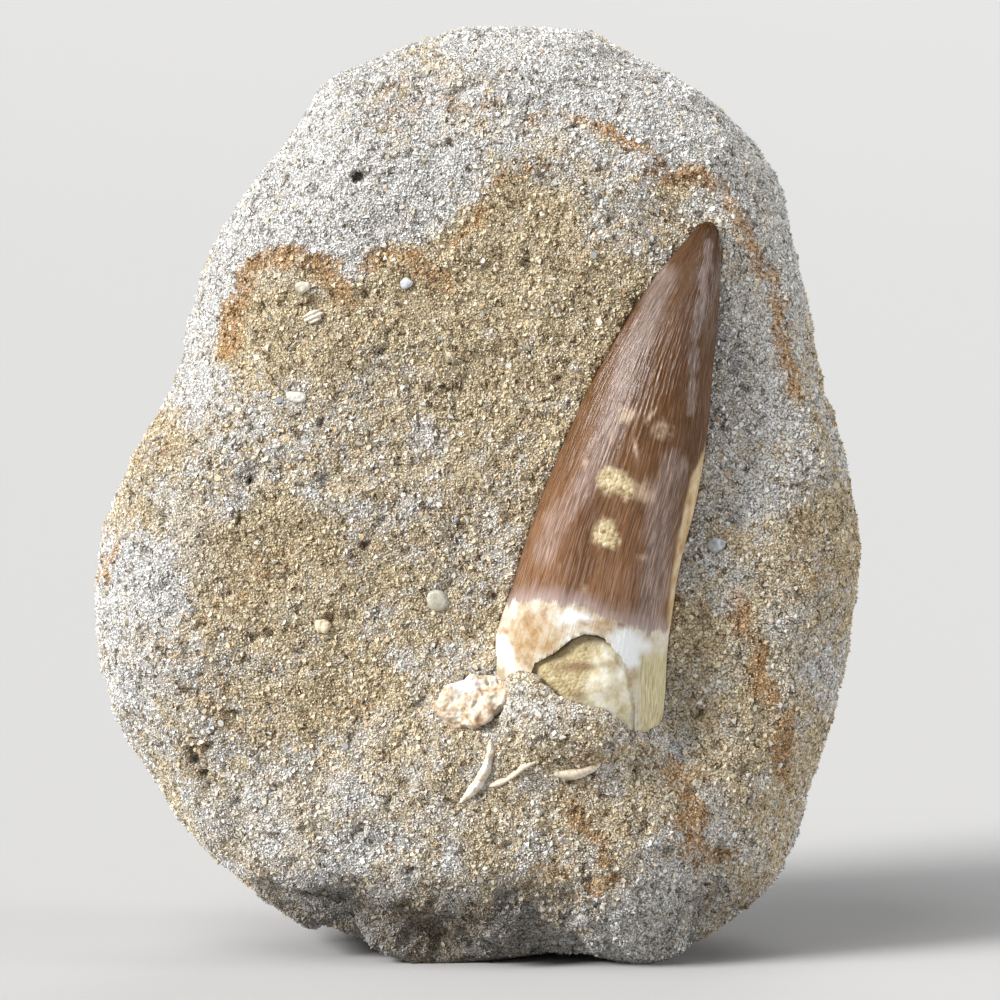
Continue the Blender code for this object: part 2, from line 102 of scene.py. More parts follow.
# The tooth: crown and root in one, brown enamel over a pale root. Its form is drawn out through
# measured sections from the tip down: right, up, half width, and depth of its middle, in mm.
tooth_sections = [
    (20.95, 27.75, 0.45, -15.3), (20.85, 27.3, 0.85, -15.4), (20.6, 26.4, 1.37, -15.6),
    (19.5, 23.15, 2.6, -16.1), (17.8, 18.55, 3.98, -16.6), (16.05, 13.4, 5.18, -16.9),
    (14.6, 8.5, 6.2, -17.0), (12.65, 1.95, 7.05, -16.9), (10.66, -4.17, 7.48, -16.6),
    (8.9, -11.34, 8.05, -16.0), (7.57, -17.27, 8.9, -14.8), (7.3, -21.9, 8.8, -13.2),
    (7.6, -24.6, 8.2, -12.2),
]
tooth_flatness = 0.84
tooth_length = 53.0
root_wall = 1.3
cavity_top = 0.66
cavity_point = 0.12
ridge_height = 0.046
broken_arch = [
    (3.0, -19.6), (3.1, -17.4), (3.4, -16.4), (4.7, -15.7), (5.5, -15.3), (6.2, -14.7),
    (7.2, -13.9), (8.5, -13.4), (9.7, -13.6), (10.4, -13.9), (11.0, -14.5), (11.6, -15.2),
    (12.1, -15.8), (12.6, -16.5), (12.9, -17.0), (13.2, -18.6), (13.4, -20.0), (13.5, -24.6),
    (3.0, -24.8),
]


def ease(value, low, high):
    """0 below low, 1 above high and a smooth ramp between."""
    share = np.clip((value - low) / (high - low), 0.0, 1.0)
    return share * share * (3 - 2 * share)


def curve_through(points, shares):
    """Values on a smooth curve through a row of points, at shares of the way along it."""
    points = np.array(points, float)
    place = np.clip(shares, 0, 1) * (len(points) - 1)
    index = np.minimum(place.astype(int), len(points) - 2)
    step = (place - index)[:, None]
    before, start, end, after = (
        points[np.clip(index + offset, 0, len(points) - 1)] for offset in (-1, 0, 1, 2)
    )
    bend = 2 * before - 5 * start + 4 * end - after
    twist = 3 * start - before - 3 * end + after
    return start + 0.5 * step * (end - before + step * (bend + step * twist))


def tooth_frames(shares):
    """Middle, half width in mm, and the across and back directions, at shares of the way down."""
    values = curve_through(tooth_sections, shares)
    middles = np.array([shown_at(right, up, depth) for right, up, _, depth in values])
    ahead = curve_through(tooth_sections, shares + 0.02)
    behind = curve_through(tooth_sections, shares - 0.02)
    along = np.array([
        shown_at(a[0], a[1], a[3]) - shown_at(b[0], b[1], b[3]) for a, b in zip(ahead, behind)
    ])
    along /= np.linalg.norm(along, axis=1)[:, None]
    across = np.cross(along, [0.0, 1.0, 0.0])
    across /= np.linalg.norm(across, axis=1)[:, None]
    return middles, values[:, 2], across, np.cross(across, along)


def tube(middles, across, back, turns):
    """A closed tube with a ring of corners round each middle, and a point at each end."""
    rings = (
        middles[:, None, :]
        + across[:, None, :] * np.cos(turns)[None, :, None]
        + back[:, None, :] * np.sin(turns)[None, :, None]
    )
    return closed_rings(rings)


def closed_rings(rings):
    """A closed bmesh through rings of corners."""
    shape = bmesh.new()
    count = rings.shape[1]
    rows = [[shape.verts.new(corner) for corner in ring] for ring in rings]
    for upper, lower in zip(rows, rows[1:]):
        for side in range(count):
            after = (side + 1) % count
            shape.faces.new((upper[side], upper[after], lower[after], lower[side]))
    for row, ring in ((rows[0], rings[0]), (rows[-1], rings[-1])):
        middle = shape.verts.new(ring.mean(axis=0))
        for side in range(count):
            shape.faces.new((row[side], row[(side + 1) % count], middle))
    bmesh.ops.recalc_face_normals(shape, faces=shape.faces)
    return shape


def as_object(name, shape):
    """A linked object of a bmesh, at the origin."""
    mesh = bpy.data.meshes.new(name)
    bmesh.ops.triangulate(shape, faces=[face for face in shape.faces if len(face.verts) > 4])
    shape.to_mesh(mesh)
    shape.free()
    made = bpy.data.objects.new(name, mesh)
    bpy.context.scene.collection.objects.link(made)
    return made


def settled(piece):
    """The piece with its modifiers' result as its plain mesh."""
    shown = piece.evaluated_get(bpy.context.evaluated_depsgraph_get())
    mesh = bpy.data.meshes.new_from_object(shown)
    piece.modifiers.clear()
    old = piece.data
    piece.data = mesh
    bpy.data.meshes.remove(old)
    mesh.name = piece.name
    return piece


def carve(piece, *cutters):
    """Take closed shapes out of a piece for good."""
    for cutter in cutters:
        boolean = piece.modifiers.new("carve", "BOOLEAN")
        boolean.operation = "DIFFERENCE"
        boolean.solver = "MANIFOLD"
        boolean.object = cutter
    settled(piece)
    for cutter in cutters:
        mesh = cutter.data
        bpy.data.objects.remove(cutter)
        bpy.data.meshes.remove(mesh)


def corners_of(mesh):
    """The corners of a mesh as rows, in metres."""
    places = np.empty(len(mesh.vertices) * 3, np.float32)
    mesh.vertices.foreach_get("co", places)
    return places.reshape(-1, 3).astype(float)


def keep_value(mesh, name, values):
    """Store one number for each corner of a mesh, for its material to read."""
    attribute = mesh.attributes.new(name, "FLOAT", "POINT")
    attribute.data.foreach_set("value", np.asarray(values, np.float32))


def noise_at(places, size, shift=0.0):
    """Smooth noise from about -1 to 1 at places in metres, with features of a size in mm."""
    scaled = places * (1000.0 / size) + shift
    return np.array([noise.noise(Vector(place)) for place in scaled])


def crown_solid(name, shares, turns, raised):
    """The tooth's whole outer form; raised(share, turn) is the height of its relief in mm."""
    middles, half_width, across, back = tooth_frames(shares)
    relief = raised(shares[:, None], turns[None, :])
    wide = (half_width[:, None] + relief) / 1000
    deep = (half_width[:, None] * tooth_flatness + relief) / 1000
    rings = (
        middles[:, None, :]
        + across[:, None, :] * (wide * np.cos(turns))[:, :, None]
        + back[:, None, :] * (deep * np.sin(turns))[:, :, None]
    )
    return as_object(name, closed_rings(rings))


def ridges(shares, turns):
    """Fine wavy ridges that run up the crown and close up towards its tip, in mm."""
    share, turn = np.broadcast_arrays(shares, turns)
    _, half_width, _, _ = tooth_frames(shares[:, 0])
    fade = 1 - ease(share, 0.45, 0.80)
    wide_part = ease(half_width[:, None], 3.2, 5.2)
    waver = np.array([
        noise.noise(Vector((t * 6.0, s * 26.0, 1.0))) for t, s in zip(turn.ravel(), share.ravel())
    ]).reshape(share.shape) * 0.7
    relief = np.zeros(share.shape)
    for count, weight, seed in ((150, wide_part, 3.0), (92, 1 - wide_part, 9.0)):
        across = turn / (2 * math.pi) * count + waver
        down = share * tooth_length / 3.2
        lines = [
            noise.noise(Vector((a, d, seed))) for a, d in zip(across.ravel(), down.ravel())
        ]
        relief += np.array(lines).reshape(share.shape) * weight
    uneven = [
        noise.noise(Vector((math.cos(t) * 2.2, math.sin(t) * 2.2, s * 9)))
        for t, s in zip(turn.ravel(), share.ravel())
    ]
    body = np.array(uneven).reshape(share.shape) * 0.10
    return relief * 2 * ridge_height * (0.25 + 0.75 * fade) * ease(share, 0.02, 0.10) + body * share


crown_turns = np.concatenate([
    np.linspace(math.radians(165), math.radians(375), 380, endpoint=False),
    np.linspace(math.radians(15), math.radians(165), 24, endpoint=False) + 2 * math.pi,
])
tooth = crown_solid("enamel_crown_and_root", np.linspace(0, 1, 150), crown_turns, ridges)

cavity_shares = np.linspace(cavity_top + 0.005, 1.02, 24)
cavity_middles, cavity_width, cavity_across, cavity_back = tooth_frames(
    np.minimum(cavity_shares, 1.0)
)
cavity_reach = np.sqrt(np.minimum((cavity_shares - cavity_top) / cavity_point, 1.0))
cavity_wide = np.maximum((cavity_width - root_wall) * cavity_reach, 0.3) / 1000
cavity_deep = np.maximum((cavity_width * tooth_flatness - root_wall) * cavity_reach, 0.3) / 1000
cavity_middles[-1] += (cavity_middles[-2] - cavity_middles[-5]) * 0.5
cavity = as_object("cavity", tube(
    cavity_middles, cavity_across * cavity_wide[:, None], cavity_back * cavity_deep[:, None],
    np.linspace(0, 2 * math.pi, 48, endpoint=False),
))


def arch_window(outline, near, far):
    """The broken opening as a prism along the lines of sight, its edge chipped a little."""
    points = []
    for start, end in zip(outline, outline[1:] + outline[:1]):
        for share in np.linspace(0, 1, 5, endpoint=False):
            right = start[0] + (end[0] - start[0]) * share
            up = start[1] + (end[1] - start[1]) * share
            chip = noise.noise(Vector((right * 1.7, up * 1.7, 4.0))) * 0.16
            points.append((right + chip, up + chip * 0.7))
    shape = bmesh.new()
    rings = [
        [shape.verts.new(shown_at(*point, depth)) for point in points] for depth in (near, far)
    ]
    for ring in rings:
        shape.faces.new(ring)
    for side in range(len(points)):
        after = (side + 1) % len(points)
        shape.faces.new((rings[0][side], rings[0][after], rings[1][after], rings[1][side]))
    bmesh.ops.triangulate(shape, faces=shape.faces)
    bmesh.ops.recalc_face_normals(shape, faces=shape.faces)
    return as_object("window", shape)


carve(tooth, cavity, arch_window(broken_arch, -40.0, -16.0))


def to_line(places, line):
    """The distance of places from a broken line, and +1 where they lie on its right hand."""
    line = np.array(line, float)
    nearest = np.full(len(places), 1e9)
    side = np.zeros(len(places))
    for start, end in zip(line, line[1:]):
        way = end - start
        arm = places - start
        share = np.clip(arm @ way / (way @ way), 0, 1)
        gap = np.hypot(*(arm - share[:, None] * way).T)
        turn = np.sign(way[1] * arm[:, 0] - way[0] * arm[:, 1])
        closer = gap < nearest
        nearest[closer] = gap[closer]
        side[closer] = turn[closer]
    return nearest, side


def spot(places, right, up, half_width, half_height, turn, ragged, soft=0.35):
    """1 inside an oval mark with a ragged edge, 0 outside it."""
    lean = math.radians(turn)
    arm = places - (right, up)
    along = (arm[:, 0] * math.cos(lean) + arm[:, 1] * math.sin(lean)) / half_width
    across = (arm[:, 1] * math.cos(lean) - arm[:, 0] * math.sin(lean)) / half_height
    return 1 - ease(np.hypot(along, across) + ragged, 1 - soft, 1 + soft)


def where_on_tooth(points):
    """For points near the tooth, the share of the way down it and the turn round it."""
    shares = np.linspace(0, 1, 240)
    middles, _, across, back = tooth_frames(shares)
    nearest = np.array([
        np.argmin(((middles - point) ** 2).sum(axis=1)) for point in points
    ])
    arm = points - middles[nearest]
    turn = np.arctan2((arm * back[nearest]).sum(axis=1), (arm * across[nearest]).sum(axis=1))
    return shares[nearest], turn


def height_below(places, line):
    """How far places lie below a line that runs from left to right."""
    right, up = np.array(line, float).T
    return np.interp(places[:, 0], right, up) - places[:, 1]


# Marks on the tooth as the front view shows them. Lines are rows of (right, up), a painted
# highlight band is a line with its half width and strength, and the others are ovals: right, up,
# half width, half height and turn in degrees.
enamel_edge = [
    (0.0, -10.4), (2.5, -10.0), (5.0, -9.9), (7.5, -10.3), (9.5, -11.0), (11.5, -12.0),
    (13.5, -12.7), (15.0, -13.0), (18.0, -13.2),
]
flank_line = [
    (20.8, 6.3), (19.9, 4.0), (18.9, 2.0), (18.5, 0.0), (18.0, -2.5), (17.6, -4.5), (17.2, -7.0),
    (16.9, -9.0), (16.8, -11.0), (16.7, -13.2),
]
ivory_spots = [
    (11.3, 2.0, 1.45, 1.15, -15), (12.6, 1.3, 0.9, 1.0, 10), (10.4, -3.2, 1.3, 0.95, 20),
    (10.9, -4.0, 1.15, 0.7, 0),
]
scuffs = [
    (12.6, 8.5, 0.9, 0.8, 20), (16.3, 7.0, 0.9, 0.8, 0), (14.2, 0.9, 0.9, 1.1, 60),
    (14.8, -5.8, 1.1, 0.28, -5), (13.6, 4.8, 0.2, 1.2, 10), (8.6, 3.6, 0.35, 0.4, 0),
    (8.4, -8.9, 0.35, 0.35, 0), (15.2, 8.6, 0.9, 0.18, 50), (11.0, 6.2, 0.2, 0.5, 0),
]
# Painted highlights: lavender-grey bands on the enamel where the lights' reflections fall.
painted_highlight_bands = [
    ([(16.6, 22.5), (13.3, 14.7), (11.2, 7.5), (8.7, 2.0), (5.9, -1.8), (4.4, -5.5)], 1.8, 0.36),
    ([(20.9, 25.6), (20.4, 21.8), (19.8, 18.0), (19.5, 14.7), (19.0, 9.0)], 0.65, 0.42),
    ([(17.5, 3.5), (15.9, -1.0), (15.8, -5.5), (14.8, -12.0)], 2.0, 0.48),
]
glossy_white = [
    (13.0, -14.9, 2.2, 1.7, -20), (0.4, -14.9, 0.7, 1.5, 25), (7.6, -11.7, 1.6, 0.5, -5),
]
broad_stain = [(3.2, -13.6, 3.1, 2.4, 0)]
edge_stain = [(9.5, -12.2, 4.5, 0.8, -15)]
dark_nicks = [(11.4, -14.0, 0.28, 0.22, 0), (12.1, -12.4, 0.45, 0.3, 30)]


def marks(places, ovals, ragged=0.0, soft=0.35):
    """1 inside any of some ovals, 0 outside them."""
    return np.max([spot(places, *oval, ragged, soft) for oval in ovals], axis=0)


tooth_corners = corners_of(tooth.data)
tooth_places = seen(tooth_corners)
tooth_share, tooth_turn = where_on_tooth(tooth_corners)
ragged = noise_at(tooth_corners, 1.6) * 0.45 + noise_at(tooth_corners, 0.6, 5.0) * 0.25
below_enamel = height_below(tooth_places, enamel_edge) + ragged * 1.3
flank_gap, flank_side = to_line(tooth_places, flank_line)
flank_bottom, flank_top = -14.5, 6.6
flank_reach = (tooth_places[:, 1] < flank_top) & (tooth_places[:, 1] > flank_bottom)
right_wall = ease(tooth_places[:, 0] + ragged * 0.8, 13.4, 14.4)
# Strength of the painted highlight bands at each corner of the tooth.
films_and_highlights = [
    strength * (1 - ease(to_line(tooth_places, line)[0] + ragged * 1.2, 0.3 * width, width))
    for line, width, strength in painted_highlight_bands
]
tooth_marks = {
    "root": ease(below_enamel, -0.6, 0.9),
    "haze": ease(below_enamel, -1.8, 0.0) * (1 - ease(below_enamel, 0.2, 1.3)),
    "flank": ease(-flank_gap * flank_side + ragged * 0.25, -0.1, 0.3) * flank_reach,
    "sandy": marks(tooth_places, ivory_spots, ragged * 0.8),
    "scuffed": marks(tooth_places, scuffs, ragged, 0.6),
    "white": marks(tooth_places, glossy_white, ragged * 0.7),
    "stained": np.maximum(
        marks(tooth_places, broad_stain, ragged * 1.2, 0.5),
        0.7 * marks(tooth_places, edge_stain, ragged * 1.6, 0.5),
    ),
    "olive": right_wall * ease(-tooth_places[:, 1], 14.3, 16.2),
    "painted_highlight": np.max(films_and_highlights, axis=0),
    "nicks": marks(tooth_places, dark_nicks, ragged * 0.6),
    "down": tooth_share,
    "around": tooth_turn,
}
for name, values in tooth_marks.items():
    keep_value(tooth.data, name, values)


def finish(node, sources):
    """Link a node's sockets, or set their numbers and colours."""
    for socket, source in sources.items():
        if isinstance(source, bpy.types.NodeSocket):
            node.id_data.links.new(source, node.inputs[socket])
        else:
            node.inputs[socket].default_value = source
    return node


def node_maker(tree):
    """A maker of a tree's nodes, from their kind, what their sockets take and their settings."""
    def add(kind, sources=None, **settings):
        made = tree.nodes.new(kind)
        for name, value in settings.items():
            setattr(made, name, value)
        return finish(made, sources or {})

    return add


def new_material(name):
    """A material, its shader and a maker of its nodes."""
    material = bpy.data.materials.new(name)
    material.use_nodes = True
    tree = material.node_tree
    return material, tree.nodes["Principled BSDF"], node_maker(tree)


def object_place(add):
    """The place on the object, in metres."""
    return add("ShaderNodeTexCoord").outputs["Object"]


def read(add, name):
    """A number that is stored at the mesh's corners."""
    return add("ShaderNodeAttribute", attribute_name=name).outputs["Fac"]


def times(add, first, second):
    """A product, each a socket or a number."""
    return add("ShaderNodeMath", {0: first, 1: second}, operation="MULTIPLY").outputs[0]


def plus(add, first, second):
    """A sum, each a socket or a number."""
    return add("ShaderNodeMath", {0: first, 1: second}, operation="ADD").outputs[0]


def minus(add, first, second):
    """A difference, each a socket or a number."""
    return add("ShaderNodeMath", {0: first, 1: second}, operation="SUBTRACT").outputs[0]


def larger(add, first, second):
    """The larger of two, each a socket or a number."""
    return add("ShaderNodeMath", {0: first, 1: second}, operation="MAXIMUM").outputs[0]


def sway(add, source, amount):
    """A noise from 0 to 1 made to swing about 0, times an amount."""
    return times(add, minus(add, source, 0.5), amount)


def blend_colour(add, share, first, second, way="MIX"):
    """A mix of two colours, each a socket or red, green and blue."""
    first, second = ((*tone, 1.0) if isinstance(tone, tuple) else tone for tone in (first, second))
    sources = {0: share, 6: first, 7: second}
    return add("ShaderNodeMix", sources, data_type="RGBA", blend_type=way).outputs[2]


def ramp(add, share, stops):
    """A ramp through (place, colour) stops; a single number is a grey."""
    made = add("ShaderNodeValToRGB", {"Fac": share})
    elements = made.color_ramp.elements
    while len(elements) < len(stops):
        elements.new(1.0)
    for element, (stop, colour) in zip(elements, stops):
        element.position = stop
        element.color = (*colour, 1.0) if isinstance(colour, tuple) else (*[colour] * 3, 1.0)
    return made.outputs["Color"]


def cloudy(add, scale, detail=2.0, roughness=0.5, distortion=0.0, place=None):
    """Cloudy noise from 0 to 1, on the object or at another place."""
    return add("ShaderNodeTexNoise", {
        "Vector": place or object_place(add), "Scale": scale, "Detail": detail,
        "Roughness": roughness, "Distortion": distortion,
    }).outputs["Fac"]


def cells(add, scale):
    """The outputs of a pattern of cells on the object: their Distance and Color."""
    return add("ShaderNodeTexVoronoi", {"Vector": object_place(add), "Scale": scale}).outputs


def bump(add, height, strength, distance, under=None, invert=False):
    """A bump of some height, in metres, on top of another one."""
    sources = {"Height": height, "Strength": strength, "Distance": distance}
    if under is not None:
        sources["Normal"] = under
    return add("ShaderNodeBump", sources, invert=invert).outputs[0]


enamel, shader, add = new_material("ridged brown enamel and pale root")
around, down = read(add, "around"), read(add, "down")


def on_crown(across, along):
    """The place on the crown's surface, counted in features round it and down it."""
    sources = {"X": times(add, around, across), "Y": times(add, down, along)}
    return add("ShaderNodeCombineXYZ", sources).outputs[0]


fine_lines = cloudy(add, 1.0, 2.0, 0.6, 0.7, on_crown(52.0, 34.0))
broad_lines = cloudy(add, 1.0, 3.0, 0.55, place=on_crown(2.2, 5.0))
mottle = cloudy(add, 520.0, 6.0, 0.66)
crumbs = cells(add, 2600.0)

down_tooth = ramp(add, down, [
    (0.0, (0.046, 0.018, 0.002)), (0.25, (0.070, 0.026, 0.002)), (0.5, (0.108, 0.046, 0.012)),
    (0.68, (0.185, 0.088, 0.038)), (0.8, (0.250, 0.140, 0.078)),
])
dark_bands = ramp(add, broad_lines, [(0.42, 0.0), (0.66, 0.6)])
brown = blend_colour(add, dark_bands, down_tooth, (0.050, 0.018, 0.004))
# The lavender-grey painted highlight is mixed into the brown.
highlighted_brown = blend_colour(add, times(add, read(add, "painted_highlight"), 0.7), brown, (0.31, 0.26, 0.245))
# Darker in the grooves between the ridges, where the bump is low: painted shade.
grooves = ramp(add, fine_lines, [(0.38, 0.5), (0.47, 0.0)])
grooved = blend_colour(add, grooves, highlighted_brown, (0.032, 0.012, 0.004))
# The ridges' crests lightened, most in the painted highlight bands and towards the root: painted
# glints.
line_share = plus(add, read(add, "painted_highlight"), times(add, down, 0.32))
crest_glints = times(add, line_share, ramp(add, fine_lines, [(0.53, 0.0), (0.60, 1.0)]))
streaked = blend_colour(add, crest_glints, grooved, (0.38, 0.29, 0.25))
hazed = blend_colour(add, times(add, read(add, "haze"), 0.5), streaked, (0.40, 0.33, 0.32))
scuff_share = times(add, read(add, "scuffed"), ramp(add, mottle, [(0.40, 0.1), (0.56, 0.8)]))
scuffed = blend_colour(add, scuff_share, hazed, (0.46, 0.34, 0.24))
ivory_sand = ramp(add, crumbs["Color"], [
    (0.0, (0.22, 0.15, 0.07)), (0.3, (0.42, 0.32, 0.17)), (0.7, (0.52, 0.43, 0.26)),
    (1.0, (0.64, 0.56, 0.40)),
])
with_sand = blend_colour(add, read(add, "sandy"), scuffed, ivory_sand)
flank_tone = ramp(add, mottle, [
    (0.35, (0.33, 0.19, 0.08)), (0.5, (0.47, 0.35, 0.20)), (0.68, (0.58, 0.50, 0.36)),
])
crown_tone = blend_colour(add, read(add, "flank"), with_sand, flank_tone)

pale_root = ramp(add, mottle, [
    (0.36, (0.38, 0.30, 0.19)), (0.5, (0.52, 0.47, 0.38)), (0.64, (0.60, 0.585, 0.545)),
])
tan_stain = ramp(add, mottle, [
    (0.38, (0.24, 0.125, 0.05)), (0.5, (0.345, 0.23, 0.115)), (0.62, (0.43, 0.355, 0.25)),
])
stained_root = blend_colour(add, read(add, "stained"), pale_root, tan_stain)
white_root = blend_colour(add, read(add, "white"), stained_root, (0.71, 0.725, 0.73))
olive_wall = ramp(add, fine_lines, [(0.35, (0.31, 0.26, 0.13)), (0.65, (0.60, 0.54, 0.35))])
olive_root = blend_colour(add, read(add, "olive"), white_root, olive_wall)
root_tone = blend_colour(add, times(add, read(add, "nicks"), 0.8), olive_root, (0.16, 0.07, 0.03))

edge_mix = plus(add, sway(add, mottle, 1.3), sway(add, fine_lines, 0.9))
root_share = add("ShaderNodeMapRange", {
    "Value": plus(add, read(add, "root"), edge_mix), "From Min": 0.32, "From Max": 0.68,
})
matt_share = larger(add, larger(add, read(add, "root"), read(add, "flank")), read(add, "sandy"))
gloss = add("ShaderNodeMapRange", {"Value": matt_share, "To Min": 0.22, "To Max": 0.66})
line_bump = bump(add, fine_lines, 0.6, 0.00012)
crumb_height = times(add, crumbs["Distance"], read(add, "sandy"))
crumb_bump = bump(add, crumb_height, 0.8, 0.0002, line_bump, invert=True)
finish(shader, {
    "Base Color": blend_colour(add, root_share.outputs[0], crown_tone, root_tone),
    "Roughness": plus(add, gloss.outputs[0], sway(add, fine_lines, 0.25)),
    "Specular IOR Level": 0.26,
    "Normal": bump(add, times(add, mottle, matt_share), 0.5, 0.0003, crumb_bump),
})


def dress(piece, material, node):
    """Give a finished piece its material and set it on the stone in place of its solid."""
    piece.data.materials.clear()
    piece.data.materials.append(material)
    piece.data.shade_smooth()
    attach(piece, "root")
    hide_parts(node)


dress(tooth, enamel, "tooth")


# The sediment that hardened inside the root: olive-tan and crumbly at the left of the arch,
# smooth and creamy at its lower right, with a dark streak under the arch. It fills the cavity.
def copied(node):
    """A solid's own surface with its corners merged."""
    shape = bmesh.new()
    shape.from_mesh(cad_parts[node].data)
    bmesh.ops.remove_doubles(shape, verts=shape.verts, dist=1e-6)
    return shape


def refined(name, shape, voxel):
    """A bmesh as an object with an even, fine surface; voxel is its size in mm."""
    piece = as_object(name, shape)
    remesh = piece.modifiers.new("refine", "REMESH")
    remesh.mode = "VOXEL"
    remesh.voxel_size = voxel / 1000
    smooth = piece.modifiers.new("soften", "SMOOTH")
    smooth.factor = 0.5
    smooth.iterations = 3
    return settled(piece)


def normals_of(mesh):
    """The directions in which a mesh's corners face, as rows."""
    normals = np.empty(len(mesh.vertices) * 3, np.float32)
    mesh.vertices.foreach_get("normal", normals)
    return normals.reshape(-1, 3)


def move_corners(mesh, places):
    """Put a mesh's corners at places in metres."""
    mesh.vertices.foreach_set("co", places.astype(np.float32).ravel())
    mesh.update()


def push(piece, heights):
    """Move every corner of a piece along its normal, by heights in mm."""
    step = normals_of(piece.data) * np.asarray(heights)[:, None] / 1000
    move_corners(piece.data, corners_of(piece.data) + step)


def towards_cream(places):
    """How far places lie towards the fill's creamy lower right, in mm."""
    return places[:, 0] - 0.4 * (places[:, 1] + 17)


def inside_outline(places, outline):
    """True for the places inside a closed outline."""
    inside = np.zeros(len(places), bool)
    for (right, up), (next_right, next_up) in zip(outline, outline[1:] + outline[:1]):
        crossed = (up > places[:, 1]) != (next_up > places[:, 1])
        share = (places[:, 1] - up) / ((next_up - up) or 1.0)
        inside ^= crossed & (places[:, 0] < right + share * (next_right - right))
    return inside


fill = refined("pulp_cavity_sediment", copied("pulp_cavity_fill"), 0.20)
fill_places = corners_of(fill.data)
fill_relief = 0.33 + 0.10 * noise_at(fill_places, 1.6) + 0.05 * noise_at(fill_places, 0.6)
fill_seen = seen(fill_places)
front_of_cavity = -0.014
in_arch = inside_outline(fill_seen, broken_arch) & (fill_places[:, 1] < front_of_cavity)
from_rim = ease(to_line(fill_seen, broken_arch[1:-2])[0], -0.35, 0.35)
flush = ease(towards_cream(fill_seen), 6.5, 10.5)
push(fill, fill_relief + in_arch * from_rim * (0.86 + 0.24 * flush))
fill_places = corners_of(fill.data)
fill_seen = seen(fill_places)
fill_ragged = noise_at(fill_places, 1.8) * 0.5 + noise_at(fill_places, 0.7, 3.0) * 0.3
streaks = np.maximum(
    spot(fill_seen, 8.0, -16.7, 2.2, 0.42, 4, fill_ragged, 0.8),
    0.8 * spot(fill_seen, 7.8, -19.7, 1.0, 0.5, -20, fill_ragged, 0.8),
)
under_arch = to_line(fill_seen, broken_arch[3:9])[0]
keep_value(fill.data, "creamy", ease(towards_cream(fill_seen) + fill_ragged * 1.6, 8.0, 10.0))
# Painted shadow of the arch's lip along the fill's upper left edge.
keep_value(fill.data, "lip_shadow", 1 - ease(under_arch + fill_ragged, 0.3, 1.1))
keep_value(fill.data, "streak", streaks)

sediment, shader, add = new_material("hardened cavity sediment")
cloud = cloudy(add, 700.0, 5.0, 0.65)
specks = cells(add, 3200.0)
olive_sand = ramp(add, specks["Color"], [
    (0.0, (0.22, 0.155, 0.065)), (0.25, (0.37, 0.285, 0.14)), (0.7, (0.45, 0.365, 0.20)),
    (1.0, (0.53, 0.45, 0.28)),
])
cream_fill = ramp(add, cloud, [
    (0.32, (0.44, 0.36, 0.19)), (0.5, (0.62, 0.56, 0.40)), (0.66, (0.72, 0.70, 0.62)),
])
body = blend_colour(add, read(add, "creamy"), olive_sand, cream_fill)
# The painted shadow of the arch's lip darkens the fill.
lip_shadowed = blend_colour(add, times(add, read(add, "lip_shadow"), 0.5), body, (0.17, 0.115, 0.055))
streak_share = times(add, read(add, "streak"), 0.75)
grit = times(add, specks["Distance"], minus(add, 1.2, read(add, "creamy")))
grit_bump = bump(add, grit, 0.35, 0.0002, invert=True)
finish(shader, {
    "Base Color": blend_colour(add, streak_share, lip_shadowed, (0.16, 0.075, 0.03)),
    "Roughness": 0.75,
    "Normal": bump(add, cloud, 0.4, 0.0004, grit_bump),
})
dress(fill, sediment, "pulp_cavity_fill")


# The block: weakly cemented sand of pale quartz, shell and phosphate grains. Its skin follows the
# solid, with the clearance round each bedded piece closed, and is cut to fit the tooth exactly.
bedded_nodes = [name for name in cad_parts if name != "matrix_block"]


def unpocketed_block():
    """The block's outer surface with the faces inside its pockets gone and the openings closed."""
    shape = copied("matrix_block")
    pieces = bmesh.new()
    for name in bedded_nodes:
        pieces.from_mesh(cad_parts[name].data)
    beside = BVHTree.FromBMesh(pieces)
    pieces.from_mesh(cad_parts["matrix_block"].data)
    everything = BVHTree.FromBMesh(pieces)
    pieces.free()
    corners = itertools.product((-1, 0, 1), repeat=3)
    ways = [Vector(corner).normalized() for corner in corners if any(corner)]
    pocket_gap, off_face = 0.0006, 1e-5
    inside = []
    for face in shape.faces:
        start = face.calc_center_median()
        near = beside.find_nearest(start, pocket_gap)[0]
        facing = near is not None and (near - start).normalized().dot(face.normal) > 0.5
        start = start + face.normal * off_face
        tried = (way for way in ways if way.dot(face.normal) > 0.05)
        if facing or all(everything.ray_cast(start, way)[0] is not None for way in tried):
            inside.append(face)
    bmesh.ops.delete(shape, geom=inside, context="FACES")

    # Each opening is closed with faces round a corner a little below its rim, in a fixed order.
    shape.verts.index_update()
    shape.edges.index_update()
    in_order = operator.attrgetter("index")
    waiting = {edge for edge in shape.edges if edge.is_boundary}
    while waiting:
        rim = [min(waiting, key=in_order)]
        waiting.discard(rim[0])
        for edge in rim:
            joined = {other for corner in edge.verts for other in corner.link_edges} & waiting
            waiting -= joined
            rim.extend(sorted(joined, key=in_order))
        corners = sorted({corner for edge in rim for corner in edge.verts}, key=in_order)
        middle = sum((corner.co for corner in corners), Vector()) / len(corners)
        outward = sum((corner.normal for corner in corners), Vector()).normalized()
        reach = max((corner.co - middle).length for corner in corners)
        floor_corner = shape.verts.new(middle - outward * min(0.1 * reach, 0.003))
        for edge in rim:
            shape.faces.new((*edge.verts, floor_corner))
    bmesh.ops.recalc_face_normals(shape, faces=shape.faces)
    return shape


